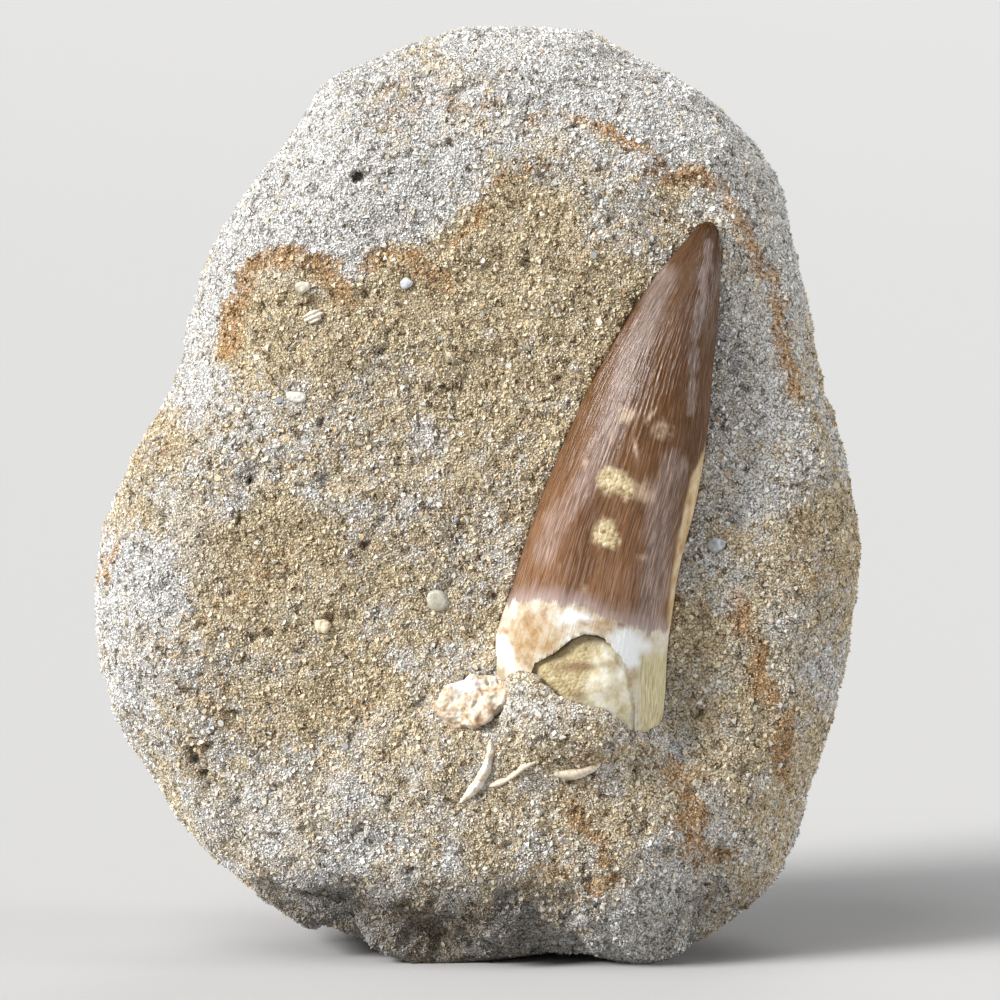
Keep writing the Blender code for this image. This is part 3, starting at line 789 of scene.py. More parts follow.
rock = refined("sand_rock_block", unpocketed_block(), 0.50)
rock_places = corners_of(rock.data)
rock_seen = seen(rock_places)
front_share = ease(-rock_places[:, 1], -0.004, 0.006)
broken = ease(-rock_seen[:, 1], 37.0, 41.0) * front_share
coarse = 1 + 1.3 * broken + 0.5 * (1 - front_share)
relief = coarse * (
    0.26 * noise_at(rock_places, 2.8)
    + 0.20 * noise_at(rock_places, 1.5, 7.0)
    + 0.17 * noise_at(rock_places, 0.8, 2.0)
)
relief -= 0.65 * ease(noise_at(rock_places, 1.9, 11.0), 0.42, 0.7)
# Small holes in the face: right, up and half width.
small_holes = [
    (-13.5, -4.5, 0.45), (-25.0, 2.0, 0.4), (-26.0, -2.0, 0.35), (-18.0, 7.8, 0.35),
    (-30.5, -26.0, 0.6), (-31.0, -25.0, 0.4), (-29.6, -27.4, 0.5), (-8.9, -7.2, 0.3),
]
hole_ovals = [(right, up, size, size, 0) for right, up, size in small_holes]
relief -= 0.9 * marks(rock_seen, hole_ovals, 0.0, 0.6) * front_share
# Sand heaped against the root's broken end: right, up, reach across and up, height.
sand_drifts = [
    (11.0, -23.6, 4.2, 2.4, 1.15), (2.6, -18.3, 2.3, 1.4, 0.95), (8.5, -21.4, 3.4, 1.8, 0.8),
    (14.4, -24.4, 2.4, 2.0, 0.7),
]
for right, up, across, high, height in sand_drifts:
    away = ((rock_seen[:, 0] - right) / across) ** 2 + ((rock_seen[:, 1] - up) / high) ** 2
    relief += height * np.exp(-away) * front_share
relief *= ease(rock_places[:, 2], 0.0002, 0.0016)
push(rock, relief)

# The skin stays inside the solid's box with room for its grains, and its base stays flat.
grain_room = 0.0002
lowest, highest = (np.array(corner) for corner in cad_box)
pushed_places = corners_of(rock.data)
rock_places = np.clip(pushed_places, lowest + grain_room, highest - grain_room)
rock_places[pushed_places[:, 2] < grain_room, 2] = 0.0
move_corners(rock.data, rock_places)

bed_turns = np.linspace(0, 2 * math.pi, 96, endpoint=False)
bed_clearance = 0.02
tooth_bed = crown_solid(
    "tooth_bed", np.linspace(0, 1, 90), bed_turns,
    lambda share, turn: np.full(np.broadcast(share, turn).shape, -bed_clearance),
)
bed_shape = bmesh.new()
bed_shape.from_mesh(tooth_bed.data)
bed_surface = BVHTree.FromBMesh(bed_shape)
bed_shape.free()
carve(rock, tooth_bed)

# Rust lines as the front view shows them, sharp on their left and fading on their right: width in
# mm, strength, and the line.
rust_lines = [
    (1.9, 0.9, [
        (-28.0, 15.6), (-27.8, 18.1), (-26.6, 20.3), (-26.4, 22.9), (-24.5, 24.5),
        (-21.9, 25.6), (-19.7, 25.1), (-17.5, 24.2), (-15.6, 22.9), (-14.6, 21.3),
    ]),
    (1.8, 0.8, [
        (-13.0, 24.5), (-11.7, 25.3), (-8.9, 24.8), (-7.0, 23.5), (-5.4, 22.3),
    ]),
    (1.2, 0.65, [
        (-4.4, 25.5), (-3.4, 27.7), (-1.9, 30.2), (0.0, 32.1), (1.9, 33.1), (4.1, 33.6),
    ]),
    (0.9, 0.62, [
        (-8.6, 39.5), (-6.3, 40.1), (-3.8, 39.8), (0.0, 39.5),
    ]),
    (1.0, 0.72, [
        (2.5, 37.6), (4.1, 39.0), (6.4, 38.8), (8.9, 38.0), (11.2, 37.4), (12.8, 36.0),
        (14.7, 35.0), (16.6, 34.1),
    ]),
    (1.4, 0.85, [
        (14.0, 32.9), (16.6, 32.8), (19.1, 33.1), (21.7, 32.5), (23.0, 30.6), (24.2, 28.3),
        (25.5, 26.1), (26.5, 23.9), (27.7, 21.9), (28.7, 19.7), (28.7, 17.5), (28.7, 15.2),
        (29.7, 11.7),
    ]),
    (1.7, 0.88, [
        (24.2, -10.5), (25.2, -12.8), (26.5, -14.7), (26.5, -17.2), (27.7, -19.8),
        (29.3, -21.0), (29.0, -23.9), (29.0, -27.4),
    ]),
    (1.8, 0.92, [
        (17.9, -26.5), (19.1, -28.1), (20.1, -30.6), (20.4, -33.5), (20.7, -35.7),
    ]),
    (1.8, 0.75, [
        (8.3, -31.9), (10.8, -33.5), (11.5, -38.0), (8.9, -40.2),
    ]),
    (1.4, 0.65, [
        (-38.2, -4.0), (-39.0, -7.0),
    ]),
    (1.0, 0.55, [
        (17.0, 2.0), (16.8, -4.0), (17.8, -9.0), (17.2, -13.0),
    ]),
]
# Rusty patches: right, up, half width, half height, turn, strength.
rust_patches = [
    (21.3, -35.4, 2.9, 0.8, 0, 0.9), (-21.5, -6.0, 5.5, 2.6, 20, 0.35),
    (-15.0, -20.5, 3.6, 1.4, 10, 0.35), (31.0, -6.0, 2.6, 4.2, 0, 0.45),
    (-29.0, -22.5, 1.8, 5.5, 0, 0.4), (15.5, 32.8, 1.6, 0.5, 0, 0.8),
    (-35.0, 4.5, 2.0, 3.2, -20, 0.3), (-26.5, -10.0, 3.0, 2.0, 0, 0.35),
    (22.5, -1.8, 1.8, 1.2, 0, 0.3), (18.7, -32.3, 2.8, 1.5, 0, 0.75),
    (8.5, -28.5, 2.4, 4.5, 0, 0.45), (20.3, -27.8, 1.0, 0.9, 0, 0.6),
    (5.5, -36.0, 3.0, 2.5, 0, 0.5), (-10.0, 38.5, 2.6, 0.8, 0, 0.5),
    (3.0, 8.0, 1.6, 1.0, 0, 0.35), (-19.5, -24.5, 2.4, 1.4, 0, 0.3),
    (-21.0, 14.0, 1.0, 0.7, 0, 0.4),
]
# Warmth of the sand at places of the face: right, up, reach, and 0 for pale crust to 1 for ochre.
warmth_marks = [
    (-17, 42, 5, 0.1), (-22, 33, 5, 0.0), (-27, 27, 4, 0.0), (-29.5, 20, 3, 0.1),
    (-31, 12, 3, 0.15), (0, 45, 7, 0.05), (9, 43, 6, 0.05), (15, 40, 5, 0.1), (20, 37, 4, 0.1),
    (25, 33, 4, 0.1), (28, 27, 3, 0.15), (-10, 31, 5, 0.05), (-6, 34, 4, 0.05),
    (-16, 30, 4, 0.0), (-20, 29, 4, 0.0), (-8, 43, 4, 0.35), (3, 35.5, 3, 0.5),
    (8, 35.5, 3, 0.5), (-11, 37, 3, 0.3), (-1, 37, 3, 0.35), (10, 34, 4, 0.3), (5, 35, 3, 0.35),
    (12, 29, 4, 0.35), (-2, 41, 4, 0.35), (-22, 21, 4, 0.85), (-17, 18, 5, 0.8),
    (-24, 15, 4, 0.7), (-14.5, 23.5, 1.5, 0.2), (-9, 20, 5, 0.8), (0, 24, 5, 0.85),
    (4, 27, 4, 0.8), (6, 20, 5, 0.8), (-2, 15, 5, 0.8), (3, 12, 5, 0.75), (-10, 12, 5, 0.55),
    (-19, 9, 5, 0.45), (-27, 6, 5, 0.35), (-8, 3, 5, 0.5), (-14, 0, 5, 0.45), (2, 3, 4, 0.6),
    (-3, -5, 4, 0.5), (-10, -6, 5, 0.55), (-21, -6, 5, 0.85), (-26, -8, 4, 0.75),
    (-18, -10, 4, 0.7), (-23, -14, 5, 0.6), (-15, -19, 5, 0.75), (-9, -14, 5, 0.55),
    (-6, -20, 4, 0.5), (-36, 2, 4, 0.55), (-34, 6, 3, 0.6), (-37, -10, 4, 0.15),
    (-38, -18, 4, 0.25), (-33, -18, 4, 0.35), (-29, -24, 4, 0.5), (-24, -28, 5, 0.4),
    (-16, -28, 5, 0.45), (-8, -28, 5, 0.5), (0, -33, 5, 0.5), (-14, -36, 5, 0.3),
    (-26, -36, 4, 0.35), (-5, -38, 5, 0.4), (5, -30, 4, 0.55), (8, -37, 5, 0.6),
    (14, -41, 4, 0.05), (17, -38, 3, 0.15), (13, -45, 4, 0.05), (5, -44, 4, 0.2),
    (22, -38, 4, 0.45), (19, -13, 3, 0.8), (22, -17, 3, 0.85), (21.5, -22, 3, 0.7),
    (19, -17.5, 1.5, 0.2), (2, -19, 3, 0.45), (6, -24, 4, 0.55), (12, -27, 4, 0.5),
    (16, -23, 3, 0.3), (20, -19, 4, 0.35), (24, -16, 4, 0.65), (28, -22, 4, 0.6),
    (23, -26, 4, 0.6), (26, -32, 4, 0.5), (31, -12, 4, 0.5), (32, -4, 4, 0.7), (27, -5, 4, 0.6),
    (22, -8, 3, 0.3), (24, 2, 4, 0.15), (29, 5, 4, 0.3), (24, 9, 4, 0.1), (24, 17, 4, 0.2),
    (27, 12, 4, 0.3), (22, 24, 3, 0.35), (19, 30, 3, 0.6), (33, -18, 3, 0.2),
]
# Chalky white films on the crust: right, up, half width, half height, turn, strength.
chalk_marks = [
    (-21.0, 26.5, 5.0, 3.0, 40, 0.8), (-14.2, 23.6, 1.2, 1.0, 0, 0.9),
    (-29.6, 14.0, 1.3, 6.0, -10, 0.45), (-37.0, -12.0, 2.0, 9.0, 5, 0.25),
    (19.6, 29.2, 1.6, 1.3, 0, 0.8), (22.2, -5.6, 1.2, 1.0, 0, 0.8),
    (23.5, -12.0, 1.0, 5.0, 5, 0.4), (14.5, -41.0, 3.0, 3.4, 0, 0.4),
    (21.6, -31.0, 1.6, 3.4, 10, 0.7), (-13.0, 33.0, 7.0, 2.2, 10, 0.5),
    (12.0, 41.0, 8.0, 2.0, -20, 0.4), (-24.0, -33.0, 5.0, 3.0, -40, 0.4),
    (4.0, 36.0, 4.0, 1.0, 0, 0.4), (-17.0, -29.5, 6.0, 2.6, -10, 0.35),
    (-13.0, -23.0, 3.0, 1.6, 30, 0.35), (3.5, -21.0, 4.0, 2.4, -20, 0.3),
    (28.5, -14.0, 2.0, 7.0, 0, 0.35), (-31.5, -4.0, 2.6, 5.0, 0, 0.4),
    (27.5, 14.0, 2.0, 8.0, 5, 0.4), (8.5, -35.0, 1.2, 2.0, 0, 0.5),
    (-6.0, -31.5, 3.0, 1.2, 0, 0.35),
]


def stone_stains_and_shade(points):
    """Rust, warmth, painted shade and chalk of the stone at points of its surface, each from 0 to
    1.
    """
    wobble = np.stack([
        noise_at(points, 2.2, 1.0) + 0.5 * noise_at(points, 0.9, 4.0),
        noise_at(points, 2.2, 6.0) + 0.5 * noise_at(points, 0.9, 8.0),
    ], axis=1)
    places = seen(points)
    front = ease(-points[:, 1], -0.004, 0.004)
    moved = places + wobble * 0.9
    patchy = noise_at(points, 3.6, 15.0) + 0.8 * noise_at(points, 1.6, 18.0)

    rust = np.zeros(len(points))
    for width, strength, line in rust_lines:
        gap, side = to_line(moved, line)
        inner = 1 - ease(gap, 0.4 * width, 1.7 * width)
        outer = 1 - ease(gap, 0.15, 0.55)
        rust = np.maximum(rust, strength * np.where(side > 0, inner, outer))
    for *oval, strength in rust_patches:
        rust = np.maximum(rust, strength * marks(moved, [oval], 0.0, 0.6))
    rust *= 0.85 + 0.45 * patchy

    # Away from every mark, the sand's warmth is 0.4.
    weight = np.full(len(points), 1e-4)
    warmth = np.full(len(points), 0.4e-4)
    for right, up, reach, value in warmth_marks:
        away = (moved[:, 0] - right) ** 2 + (moved[:, 1] - up) ** 2
        near = np.exp(-away / (0.55 * reach * reach))
        weight += near
        warmth += near * value
    warmth = warmth / weight + 0.30 * patchy

    big = noise_at(points, 16.0, 3.0)
    bands = np.abs(noise_at(points, 21.0, 12.0) + 0.12 * wobble[:, 0])
    rear_rust = (1 - ease(bands, 0.02, 0.10)) * ease(big, -0.15, 0.2) * 0.8
    rear_warmth = ease(big + 0.2 * wobble[:, 1], -0.6, 0.5) * 0.62 + 0.34 * patchy
    rust = rust * front + rear_rust * (1 - front)
    warmth = warmth * front + rear_warmth * (1 - front)

    films_and_highlights = [strength * marks(moved, [oval], 0.0, 0.7) for *oval, strength in chalk_marks]
    chalk = np.maximum(np.max(films_and_highlights, axis=0) * front, 0.5 * ease(patchy, 0.55, 0.9))
    # Darker towards the foot, most at the left, and at the lower right: painted shade.
    foot = ease(-places[:, 1] + 0.8 * wobble[:, 0], 36.0, 41.0) * front
    grime = foot * (0.24 + 0.54 * ease(-places[:, 0], -13.0, 2.0))
    grime += 0.20 * ease(places[:, 0], 16.0, 24.0) * ease(-places[:, 1], 36.0, 39.5) * front
    return rust, warmth, np.maximum(grime, 0.0), chalk


rock_places = corners_of(rock.data)
rock_seen = seen(rock_places)
rust, warmth, grime, chalk = stone_stains_and_shade(rock_places)
# Painted shade in the face's small holes, and a painted shadow where one deeper hole shows, which
# has no hollow in the skin.
deep_hole_right, deep_hole_up = -14.2, 32.3
deep_hole_gap = np.hypot(rock_seen[:, 0] - deep_hole_right, rock_seen[:, 1] - deep_hole_up)
hole_shade = np.maximum(
    marks(rock_seen, hole_ovals, 0.0, 0.6),
    (1 - ease(deep_hole_gap, 0.5, 0.85)) * (rock_places[:, 1] < 0),
)
keep_value(rock.data, "rust", rust)
keep_value(rock.data, "warmth", warmth)
keep_value(rock.data, "grime", np.maximum(grime, hole_shade * (rock_places[:, 1] < 0)))
keep_value(rock.data, "chalk", chalk * (1 - 0.8 * np.clip(rust, 0, 1)))

# The sand's colours, shared by the skin and by its loose-looking grains: pale crust, warm ochre
# sand and rusty sand, each grain with a tone of its own.
sand_colours = bpy.data.node_groups.new("sand colours", "ShaderNodeTree")
for name in ("Tone", "Choice", "Rust", "Warmth", "Grime", "Chalk", "Hollow"):
    sand_colours.interface.new_socket(name, in_out="INPUT", socket_type="NodeSocketFloat")
sand_colours.interface.new_socket("Colour", in_out="OUTPUT", socket_type="NodeSocketColor")
add = node_maker(sand_colours)
given = add("NodeGroupInput").outputs
chalky_tone = plus(
    add, given["Tone"], times(add, given["Chalk"], minus(add, 0.85, given["Tone"]))
)
crust = ramp(add, chalky_tone, [
    (0.0, (0.10, 0.097, 0.090)), (0.08, (0.24, 0.235, 0.22)), (0.25, (0.45, 0.445, 0.43)),
    (0.5, (0.64, 0.635, 0.61)), (0.8, (0.74, 0.735, 0.72)), (1.0, (0.79, 0.795, 0.79)),
])
ochre = ramp(add, given["Tone"], [
    (0.0, (0.080, 0.058, 0.032)), (0.15, (0.26, 0.20, 0.120)), (0.4, (0.50, 0.41, 0.26)),
    (0.65, (0.66, 0.565, 0.39)), (0.85, (0.75, 0.67, 0.50)), (1.0, (0.80, 0.74, 0.60)),
])
rusty = ramp(add, given["Tone"], [
    (0.0, (0.08, 0.038, 0.014)), (0.2, (0.26, 0.135, 0.052)), (0.5, (0.47, 0.275, 0.120)),
    (0.8, (0.63, 0.44, 0.25)), (1.0, (0.76, 0.62, 0.46)),
])
stray = ramp(add, given["Choice"], [
    (0.0, (0.42, 0.43, 0.20)), (0.10, (0.48, 0.46, 0.27)), (0.14, (1, 1, 1)), (0.80, (1, 1, 1)),
    (0.84, (1.0, 0.72, 0.45)), (0.94, (1.0, 0.68, 0.40)), (1.0, (1.0, 0.78, 0.70)),
])
picked_warm = add("ShaderNodeMapRange", {
    "Value": plus(add, given["Warmth"], sway(add, given["Choice"], 0.42)),
    "From Min": 0.28, "From Max": 0.56,
})
picked_rust = add("ShaderNodeMapRange", {
    "Value": plus(add, given["Rust"], sway(add, given["Choice"], 0.55)),
    "From Min": 0.30, "From Max": 0.74, "To Max": 0.9,
})
bare_warm = times(add, picked_warm.outputs[0], minus(add, 1.0, given["Chalk"]))
warm_sand = blend_colour(add, bare_warm, crust, blend_colour(add, 0.34, ochre, stray, "MULTIPLY"))
rusty_sand = blend_colour(add, picked_rust.outputs[0], warm_sand, rusty)
# Darkened where the mesh keeps painted shade: at the foot and in the holes.
shade_darkened_sand = blend_colour(
    add, times(add, given["Grime"], 0.85), rusty_sand, (0.045, 0.031, 0.018)
)
# Painted shade: the hollows between the sand's clumps darkened.
hollow_shaded_sand = blend_colour(add, given["Hollow"], shade_darkened_sand, (0.36, 0.31, 0.26), "MULTIPLY")
add("NodeGroupOutput", {"Colour": hollow_shaded_sand})


def sand_clumps(add):
    """The clumps of the sand, from 0 to 1, and the painted shade of the hollows between them."""
    clumps = cloudy(add, 1250.0, 4.0, 0.62, 0.9)
    return clumps, ramp(add, clumps, [(0.37, 1.0), (0.45, 0.0)])


def sand_colour(add, tone, choice, hollow_shade):
    """The sand's colour, from its grains' tone and choice, the painted shade of its hollows, and
    the stains and painted shade kept on the mesh.
    """
    sources = {"Tone": tone, "Choice": choice, "Hollow": hollow_shade}
    for stain_and_shade in ("Rust", "Warmth", "Grime", "Chalk"):
        sources[stain_and_shade] = read(add, stain_and_shade.lower())
    return add("ShaderNodeGroup", sources, node_tree=sand_colours).outputs[0]


sand_skin, shader, add = new_material("cemented sand")
grains_in_skin = cells(add, 4200.0)
grain_parts = add("ShaderNodeSeparateColor", {"Color": grains_in_skin["Color"]}).outputs
clumps, hollow_shade = sand_clumps(add)
# The skin's tone follows the clumps' height and is lighter on their tops: painted light and shade.
tone = plus(add, times(add, grain_parts[0], 0.50), times(add, minus(add, clumps, 0.14), 0.95))
# The gaps between the grains darkened and their middles kept light: painted shade.
grain_gap_shade = ramp(add, grains_in_skin["Distance"], [
    (0.25, (0.96, 0.95, 0.94)), (0.65, (0.38, 0.36, 0.34)),
])
sand = sand_colour(add, tone, grain_parts[1], hollow_shade)
grain_bump = bump(add, grains_in_skin["Distance"], 0.9, 0.00016, invert=True)
finish(shader, {
    "Base Color": blend_colour(add, 1.0, sand, grain_gap_shade, "MULTIPLY"),
    "Roughness": 0.9,
    "Specular IOR Level": 0.3,
    "Normal": bump(add, clumps, 0.8, 0.0005, grain_bump),
})

# The skin's unfolded surface: six sides of a box, as seen from the block's middle.
rock_middle = (lowest + highest) / 2
half_size = (highest - lowest) / 2
side_middles = np.empty(len(rock.data.polygons) * 3, np.float32)
rock.data.polygons.foreach_get("center", side_middles)
side_ways = (side_middles.reshape(-1, 3) - rock_middle) / half_size
box_axis = np.abs(side_ways).argmax(axis=1)
box_side = box_axis + 3 * (side_ways[np.arange(len(side_ways)), box_axis] > 0)
corner_counts = np.empty(len(rock.data.polygons), np.int32)
rock.data.polygons.foreach_get("loop_total", corner_counts)
corner_side = np.repeat(box_side, corner_counts)
corner_index = np.empty(len(rock.data.loops), np.int32)
rock.data.loops.foreach_get("vertex_index", corner_index)
corner_ways = (corners_of(rock.data)[corner_index] - rock_middle) / half_size
every = np.arange(len(corner_ways))
depth = np.maximum(np.abs(corner_ways[every, corner_side % 3]), 0.2)
flat = np.stack([
    corner_ways[every, (corner_side + 1) % 3] / depth,
    corner_ways[every, (corner_side + 2) % 3] / depth,
], axis=1)
flat = np.clip(0.5 + 0.46 * flat, 0.01, 0.99)
flat = (flat + np.stack([corner_side % 3, corner_side // 3], axis=1)) / np.array([3.0, 2.0])
rock.data.uv_layers.new(name="OFBake").data.foreach_set("uv", flat.astype(np.float32).ravel())
dress(rock, sand_skin, "matrix_block")


# Sand grains that stand out of the block's skin: angular, a fifth to two thirds of a millimetre
# across, finest on the worked face and coarser on the sides and back. No grain starts where the
# tooth or another bedded piece lies.
def inside_of(points, surface, margin):
    """1 for points inside a closed surface, or within a margin in metres of it."""
    found = np.zeros(len(points))
    for index, point in enumerate(points):
        place, normal, _, gap = surface.find_nearest(Vector(point), 0.02)
        if place is not None and (gap < margin or (place - Vector(point)).dot(normal) > 0):
            found[index] = 1.0
    return found


room = 1 - inside_of(rock_places, bed_surface, 0.00012)
for name in bedded_nodes:
    low, high = (np.array(corner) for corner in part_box(name))
    near = np.all((rock_places > low - 0.001) & (rock_places < high + 0.001), axis=1)
    if name in ("tooth", "pulp_cavity_fill") or not near.any():
        continue
    shape = copied(name)
    surface = BVHTree.FromBMesh(shape)
    shape.free()
    room[near] *= 1 - inside_of(rock_places[near], surface, 0.00008)
room *= ease(rock_places[:, 2], 0.0006, 0.0014)
turned_forward = ease(-normals_of(rock.data)[:, 1], 0.05, 0.35) * (rock_places[:, 1] < 0.004)

# The face's fine grains are two pieces, which keeps each well under the limit of triangles.
face_parting = 0.047
upper_half = rock_places[:, 2] > face_parting
keep_value(rock.data, "face_room", room * turned_forward)
keep_value(rock.data, "upper_room", room * turned_forward * upper_half)
keep_value(rock.data, "lower_room", room * turned_forward * ~upper_half)
keep_value(rock.data, "side_room", room * (1 - turned_forward))

# Each grain is a small pointed cone of a few sides, spread at a least spacing over the room that
# the skin has for it, turned at random and sized between two half widths.
grain_scatter = bpy.data.node_groups.new("grain scatter", "GeometryNodeTree")
scatter_sockets = {}
for name, kind in (
    ("Geometry", "Geometry"), ("Grains per square metre", "Float"), ("Room", "String"),
    ("Apart", "Float"), ("Smallest", "Float"), ("Largest", "Float"), ("Sides", "Int"),
    ("Seed", "Int"), ("Material", "Material"),
):
    made = grain_scatter.interface.new_socket(name, in_out="INPUT", socket_type="NodeSocket" + kind)
    scatter_sockets[name] = made.identifier
grain_scatter.interface.new_socket("Geometry", in_out="OUTPUT", socket_type="NodeSocketGeometry")
add = node_maker(grain_scatter)
given = add("NodeGroupInput").outputs


def own_seed(offset):
    """A seed that keeps one of the grains' random numbers apart from the others."""
    return plus(add, given["Seed"], offset)


def same_thrice(value):
    """A number as a vector with three equal parts."""
    return add("ShaderNodeCombineXYZ", {"X": value, "Y": value, "Z": value}).outputs[0]


def kept(geometry, name, value):
    """The points with a number stored at each."""
    return add("GeometryNodeStoreNamedAttribute", {
        "Geometry": geometry, "Name": name, "Value": value,
    }, data_type="FLOAT", domain="POINT").outputs[0]


room_read = add("GeometryNodeInputNamedAttribute", {"Name": given["Room"]}, data_type="FLOAT")
spread = add("GeometryNodeDistributePointsOnFaces", {
    "Mesh": given["Geometry"], "Distance Min": given["Apart"],
    "Density Max": given["Grains per square metre"], "Density Factor": room_read.outputs[0],
    "Seed": given["Seed"],
}, distribute_method="POISSON")
toned = add("FunctionNodeRandomValue", {"Seed": given["Seed"]})
chosen = add("FunctionNodeRandomValue", {"Seed": own_seed(41)})
points = kept(spread.outputs["Points"], "tone", toned.outputs[1])
points = kept(points, "choice", chosen.outputs[1])
grain_point = add("GeometryNodeMeshCone", {
    "Vertices": given["Sides"], "Side Segments": 1, "Radius Top": 0.0, "Radius Bottom": 1.05,
    "Depth": 1.6,
}, fill_type="NGON")
grain = add("GeometryNodeTransform", {
    "Geometry": grain_point.outputs["Mesh"], "Translation": (0.0, 0.0, -0.4),
})
full_turn = 6.283
turned = add("FunctionNodeRandomValue", {
    "Max": (full_turn,) * 3, "Seed": own_seed(7),
}, data_type="FLOAT_VECTOR")
sized = add("FunctionNodeRandomValue", {
    "Min": same_thrice(given["Smallest"]), "Max": same_thrice(given["Largest"]),
    "Seed": own_seed(19),
}, data_type="FLOAT_VECTOR")
placed = add("GeometryNodeInstanceOnPoints", {
    "Points": points, "Instance": grain.outputs[0], "Rotation": turned.outputs[0],
    "Scale": sized.outputs[0],
})
real = add("GeometryNodeRealizeInstances", {"Geometry": placed.outputs[0]})
finished = add("GeometryNodeSetMaterial", {
    "Geometry": real.outputs[0], "Material": given["Material"],
})
add("NodeGroupOutput", {0: finished.outputs[0]})

grain_stone, shader, add = new_material("sand grains")
fleck = cloudy(add, 5200.0)
clumps, hollow_shade = sand_clumps(add)
even_tone = plus(add, times(add, read(add, "tone"), 0.54), 0.31)
tone = plus(add, even_tone, sway(add, fleck, 0.35))
gloss = add("ShaderNodeMapRange", {"Value": read(add, "choice"), "To Min": 0.5, "To Max": 1.0})
finish(shader, {
    "Base Color": sand_colour(add, tone, read(add, "choice"), hollow_shade),
    "Roughness": gloss.outputs[0],
    "Specular IOR Level": 0.3,
    "Normal": bump(add, clumps, 0.8, 0.0005, bump(add, fleck, 0.4, 0.0001)),
})


def scatter_grains(name, room_name, per_mm2, apart, smallest, largest, sides, seed, stone):
    """A piece of many grains on the skin, at a least spacing; sizes are half widths in mm."""
    grains = bpy.data.objects.new(name, rock.data.copy())
    bpy.context.scene.collection.objects.link(grains)
    modifier = grains.modifiers.new("scatter", "NODES")
    modifier.node_group = grain_scatter
    inputs = {
        "Grains per square metre": per_mm2 * 1e6, "Room": room_name, "Apart": apart / 1000,
        "Smallest": smallest / 1000, "Largest": largest / 1000, "Sides": sides, "Seed": seed,
        "Material": stone,
    }
    for socket, value in inputs.items():
        modifier[scatter_sockets[socket]] = value
    settled(grains)

    # Each grain's unfolded surface is a small polygon in a cell of its own.
    mesh = grains.data
    per_grain = sides + 1
    count = len(mesh.vertices) // per_grain
    across = math.ceil(math.sqrt(count))
    corner = np.empty(len(mesh.loops), np.int32)
    mesh.loops.foreach_get("vertex_index", corner)
    number, part = corner // per_grain, corner % per_grain
    angle = part * 2 * math.pi / per_grain
    spread = np.stack([
        (number % across + 0.5 + 0.36 * np.cos(angle)) / across,
        (number // across + 0.5 + 0.36 * np.sin(angle)) / across,
    ], axis=1)
    for layer in list(mesh.uv_layers):
        mesh.uv_layers.remove(layer)
    mesh.uv_layers.new(name="OFBake").data.foreach_set("uv", spread.astype(np.float32).ravel())
    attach(grains, "root")


scatter_grains("upper_face_sand", "upper_room", 30.0, 0.20, 0.09, 0.19, 3, 11, grain_stone)
scatter_grains("lower_face_sand", "lower_room", 30.0, 0.20, 0.09, 0.19, 3, 12, grain_stone)
scatter_grains("coarse_face_sand", "face_room", 1.2, 0.5, 0.17, 0.34, 5, 23, grain_stone)
scatter_grains("side_and_back_sand", "side_room", 9.0, 0.36, 0.14, 0.34, 3, 35, grain_stone)

# Bits of broken shell, bone and quartz, 0.2 to 0.8 mm across, white to olive.
bit_stone, shader, add = new_material("shell and quartz bits")
bit_colour = ramp(add, read(add, "choice"), [
    (0.0, (0.28, 0.30, 0.33)), (0.12, (0.40, 0.35, 0.22)), (0.30, (0.52, 0.45, 0.32)),
    (0.55, (0.54, 0.50, 0.42)), (0.85, (0.57, 0.56, 0.53)), (1.0, (0.46, 0.31, 0.19)),
])
# The bits darken with the stone's painted shade at the foot and in the holes.
dimmed = times(add, read(add, "grime"), 0.8)
finish(shader, {
    "Base Color": blend_colour(add, dimmed, bit_colour, (0.05, 0.04, 0.03)), "Roughness": 0.6,
})
scatter_grains("shell_and_quartz_bits", "face_room", 0.30, 0.8, 0.10, 0.40, 6, 47, bit_stone)


# The bone fragment beside the root: cream and white, spongy, with orange-brown speckles.
bone = refined("bone_fragment_piece", copied("bone_fragment"), 0.11)
bone_places = corners_of(bone.data)
bone_lumps = 0.9 * noise_at(bone_places, 2.6) + 0.42 * noise_at(bone_places, 1.2, 3.0)
bone_grain = 0.14 * noise_at(bone_places, 0.5, 6.0)
bone_pores = 0.30 * ease(noise_at(bone_places, 0.8, 9.0), 0.25, 0.5)
push(bone, bone_lumps + bone_grain - bone_pores - 0.15)
bone_places = corners_of(bone.data)
bone_ragged = noise_at(bone_places, 0.8) * 0.4
bone_speck = noise_at(bone_places, 1.3, 2.0) * 0.28 + noise_at(bone_places, 0.35, 6.0) * 0.3
white_lobe = [(-3.7, -18.4, 1.4, 1.0, 0)]
keep_value(bone.data, "lobe", marks(seen(bone_places), white_lobe, bone_ragged, 0.4))
keep_value(bone.data, "speck", bone_speck + 0.5)

bone_stone, shader, add = new_material("speckled fossil bone")
pores = cells(add, 2300.0)
dust = cloudy(add, 1300.0, 5.0, 0.65)
speckled = ramp(add, plus(add, read(add, "speck"), sway(add, dust, 0.9)), [
    (0.16, (0.32, 0.18, 0.10)), (0.34, (0.47, 0.33, 0.21)), (0.46, (0.55, 0.45, 0.34)),
    (0.62, (0.58, 0.53, 0.44)),
])
finish(shader, {
    "Base Color": blend_colour(add, read(add, "lobe"), speckled, (0.72, 0.71, 0.68)),
    "Roughness": 0.8,
    "Normal": bump(add, dust, 0.5, 0.0003, bump(add, pores["Distance"], 0.5, 0.0002)),
})
dress(bone, bone_stone, "bone_fragment")


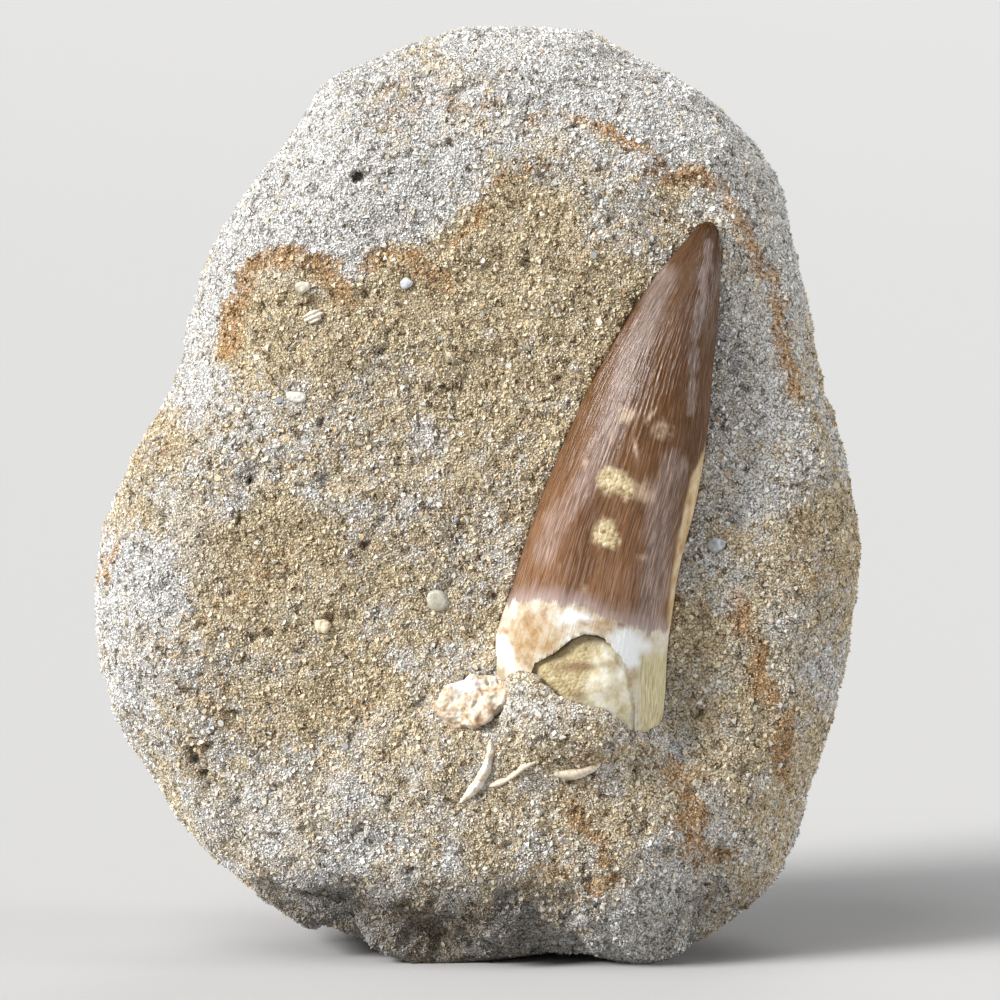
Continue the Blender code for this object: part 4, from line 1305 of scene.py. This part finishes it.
# Three broken shell edges below the root, white to pale tan, thin and slightly curved, and the
# ridged chip of a shell in the upper left of the face.
shell_stone, shader, add = new_material("shell edge")
growth = add("ShaderNodeTexWave", {
    "Vector": object_place(add), "Scale": 900.0, "Distortion": 6.0, "Detail": 3.0,
    "Detail Scale": 2.0,
}, wave_type="BANDS", bands_direction="DIAGONAL").outputs["Fac"]
pale_shell = ramp(add, cloudy(add, 1500.0, 4.0), [
    (0.3, (0.46, 0.37, 0.24)), (0.48, (0.66, 0.61, 0.51)), (0.65, (0.76, 0.75, 0.71)),
])
banded = blend_colour(add, times(add, growth, 0.35), pale_shell, (0.50, 0.42, 0.29))
finish(shader, {
    "Base Color": blend_colour(add, read(add, "tan"), banded, (0.46, 0.345, 0.22)),
    "Roughness": 0.5,
    "Normal": bump(add, growth, 0.3, 0.0001),
})

# Each one's node, how far its surface stands out of the solid in mm, and how tan it is.
sliver_looks = [
    ("shell_sliver_long", 0.10, 0.0), ("shell_sliver_thin", 0.10, 0.45),
    ("shell_sliver_pale", 0.24, 0.4), ("ridged_shell_chip", 0.0, 0.25),
]
for node, fullness, tan in sliver_looks:
    sliver = refined(node + "_piece", copied(node), 0.07)
    sliver_places = corners_of(sliver.data)
    wave = 0.10 * noise_at(sliver_places, 1.1) + 0.04 * noise_at(sliver_places, 0.4, 5.0)
    if node == "ridged_shell_chip":
        lean = math.radians(25)
        rib_spacing = 0.42
        across = seen(sliver_places) @ np.array([-math.sin(lean), math.cos(lean)])
        wave = wave * 0.5 + 0.09 * np.sin(across * 2 * math.pi / rib_spacing)
    push(sliver, wave + fullness)
    keep_value(sliver.data, "tan", np.full(len(sliver_places), tan))
    dress(sliver, shell_stone, node)


# Small worn chips and pebbles in the face: white, cream and grey, each with its own tone. A row
# gives the node, its slot, the light and the dark of its stone, and its roughness.
chip_looks = [
    ("white_chip", "white_clast", (0.60, 0.57, 0.48), (0.38, 0.33, 0.24), 0.7),
    ("long_white_chip", "white_clast", (0.64, 0.62, 0.57), (0.42, 0.38, 0.31), 0.7),
    ("cream_pebble", "cream_clast", (0.64, 0.56, 0.40), (0.40, 0.31, 0.18), 0.65),
    ("grey_pebble", "grey_clast", (0.40, 0.41, 0.43), (0.24, 0.24, 0.25), 0.45),
    ("blue_grey_pebble", "grey_clast", (0.50, 0.515, 0.53), (0.33, 0.34, 0.35), 0.6),
]
for node, slot, light, dark, roughness in chip_looks:
    chip = refined(node + "_piece", copied(node), 0.08)
    chip_places = corners_of(chip.data)
    push(chip, 0.20 * noise_at(chip_places, 0.8) + 0.08 * noise_at(chip_places, 0.35, 5.0))
    chip_stone, shader, add = new_material(node.replace("_", " ") + " stone")
    veins = cloudy(add, 1800.0, 5.0, 0.65)
    finish(shader, {
        "Base Color": ramp(add, veins, [(0.3, dark), (0.6, light)]),
        "Roughness": roughness,
        "Normal": bump(add, veins, 0.4, 0.0002),
    })
    dress(chip, chip_stone, node)


# The see-through flake left of the root, cloudy and faintly yellow.
flake = refined("clear_flake_piece", copied("clear_flake"), 0.09)
flake_places = corners_of(flake.data)
push(flake, 0.05 * noise_at(flake_places, 1.2))
flake_stone, shader, add = new_material("cloudy flake")
mist = cloudy(add, 1100.0, 4.0)
finish(shader, {
    "Base Color": ramp(add, mist, [(0.3, (0.58, 0.52, 0.36)), (0.65, (0.84, 0.82, 0.72))]),
    "Roughness": 0.22,
    "Transmission Weight": 0.45,
    "IOR": 1.54,
    "Normal": bump(add, mist, 0.2, 0.0002),
})
dress(flake, flake_stone, "clear_flake")


# The plain floor under the block, which curves up far round it, and the studio's soft light: even
# lights from the upper left, from overhead, from low at the right and from behind, and a pale
# surround.
floor_flat, floor_reach, floor_bend = 1.5, 9.0, 0.018
floor_radii = np.concatenate([[0.02], np.linspace(floor_flat, floor_reach, 31)])
floor_turns = np.linspace(0, 2 * math.pi, 96, endpoint=False)
floor_shape = bmesh.new()
floor_rows = []
for radius in floor_radii:
    rise = floor_bend * max(radius - floor_flat, 0.0) ** 2
    floor_rows.append([
        floor_shape.verts.new((radius * math.cos(turn), radius * math.sin(turn), rise))
        for turn in floor_turns
    ])
for inner, outer in zip(floor_rows, floor_rows[1:]):
    for side in range(len(floor_turns)):
        after = (side + 1) % len(floor_turns)
        floor_shape.faces.new((inner[side], outer[side], outer[after], inner[after]))
floor_shape.faces.new(floor_rows[0])
floor = as_object("floor", floor_shape)
floor.data.shade_smooth()
floor_paint, shader, add = new_material("pale floor")
finish(shader, {"Base Color": (0.42, 0.415, 0.41, 1.0), "Roughness": 0.8})
floor.data.materials.append(floor_paint)


def soft_light(name, from_place, softness, strength):
    """A wide, even light that comes from the way of a place; softness is its angle in degrees."""
    light = bpy.data.lights.new(name, "SUN")
    light.energy = strength
    light.angle = math.radians(softness)
    made = bpy.data.objects.new(name, light)
    made.rotation_mode = "QUATERNION"
    made.rotation_quaternion = Vector(from_place).to_track_quat("Z", "Y")
    bpy.context.scene.collection.objects.link(made)


soft_light("key light", (-0.66, -0.40, 0.435), 20, 5.2)
soft_light("overhead light", (-0.42, -0.38, 0.82), 40, 1.6)
soft_light("right light", (0.55, -0.08, 0.10), 12, 2.0)
soft_light("back light", (0.15, 0.60, 0.46), 40, 0.7)
world = bpy.data.worlds.new("studio surround")
world.use_nodes = True
finish(world.node_tree.nodes["Background"], {"Color": (0.95, 0.97, 1.0, 1.0), "Strength": 0.28})
bpy.context.scene.world = world
bpy.context.scene.view_settings.view_transform = "Standard"
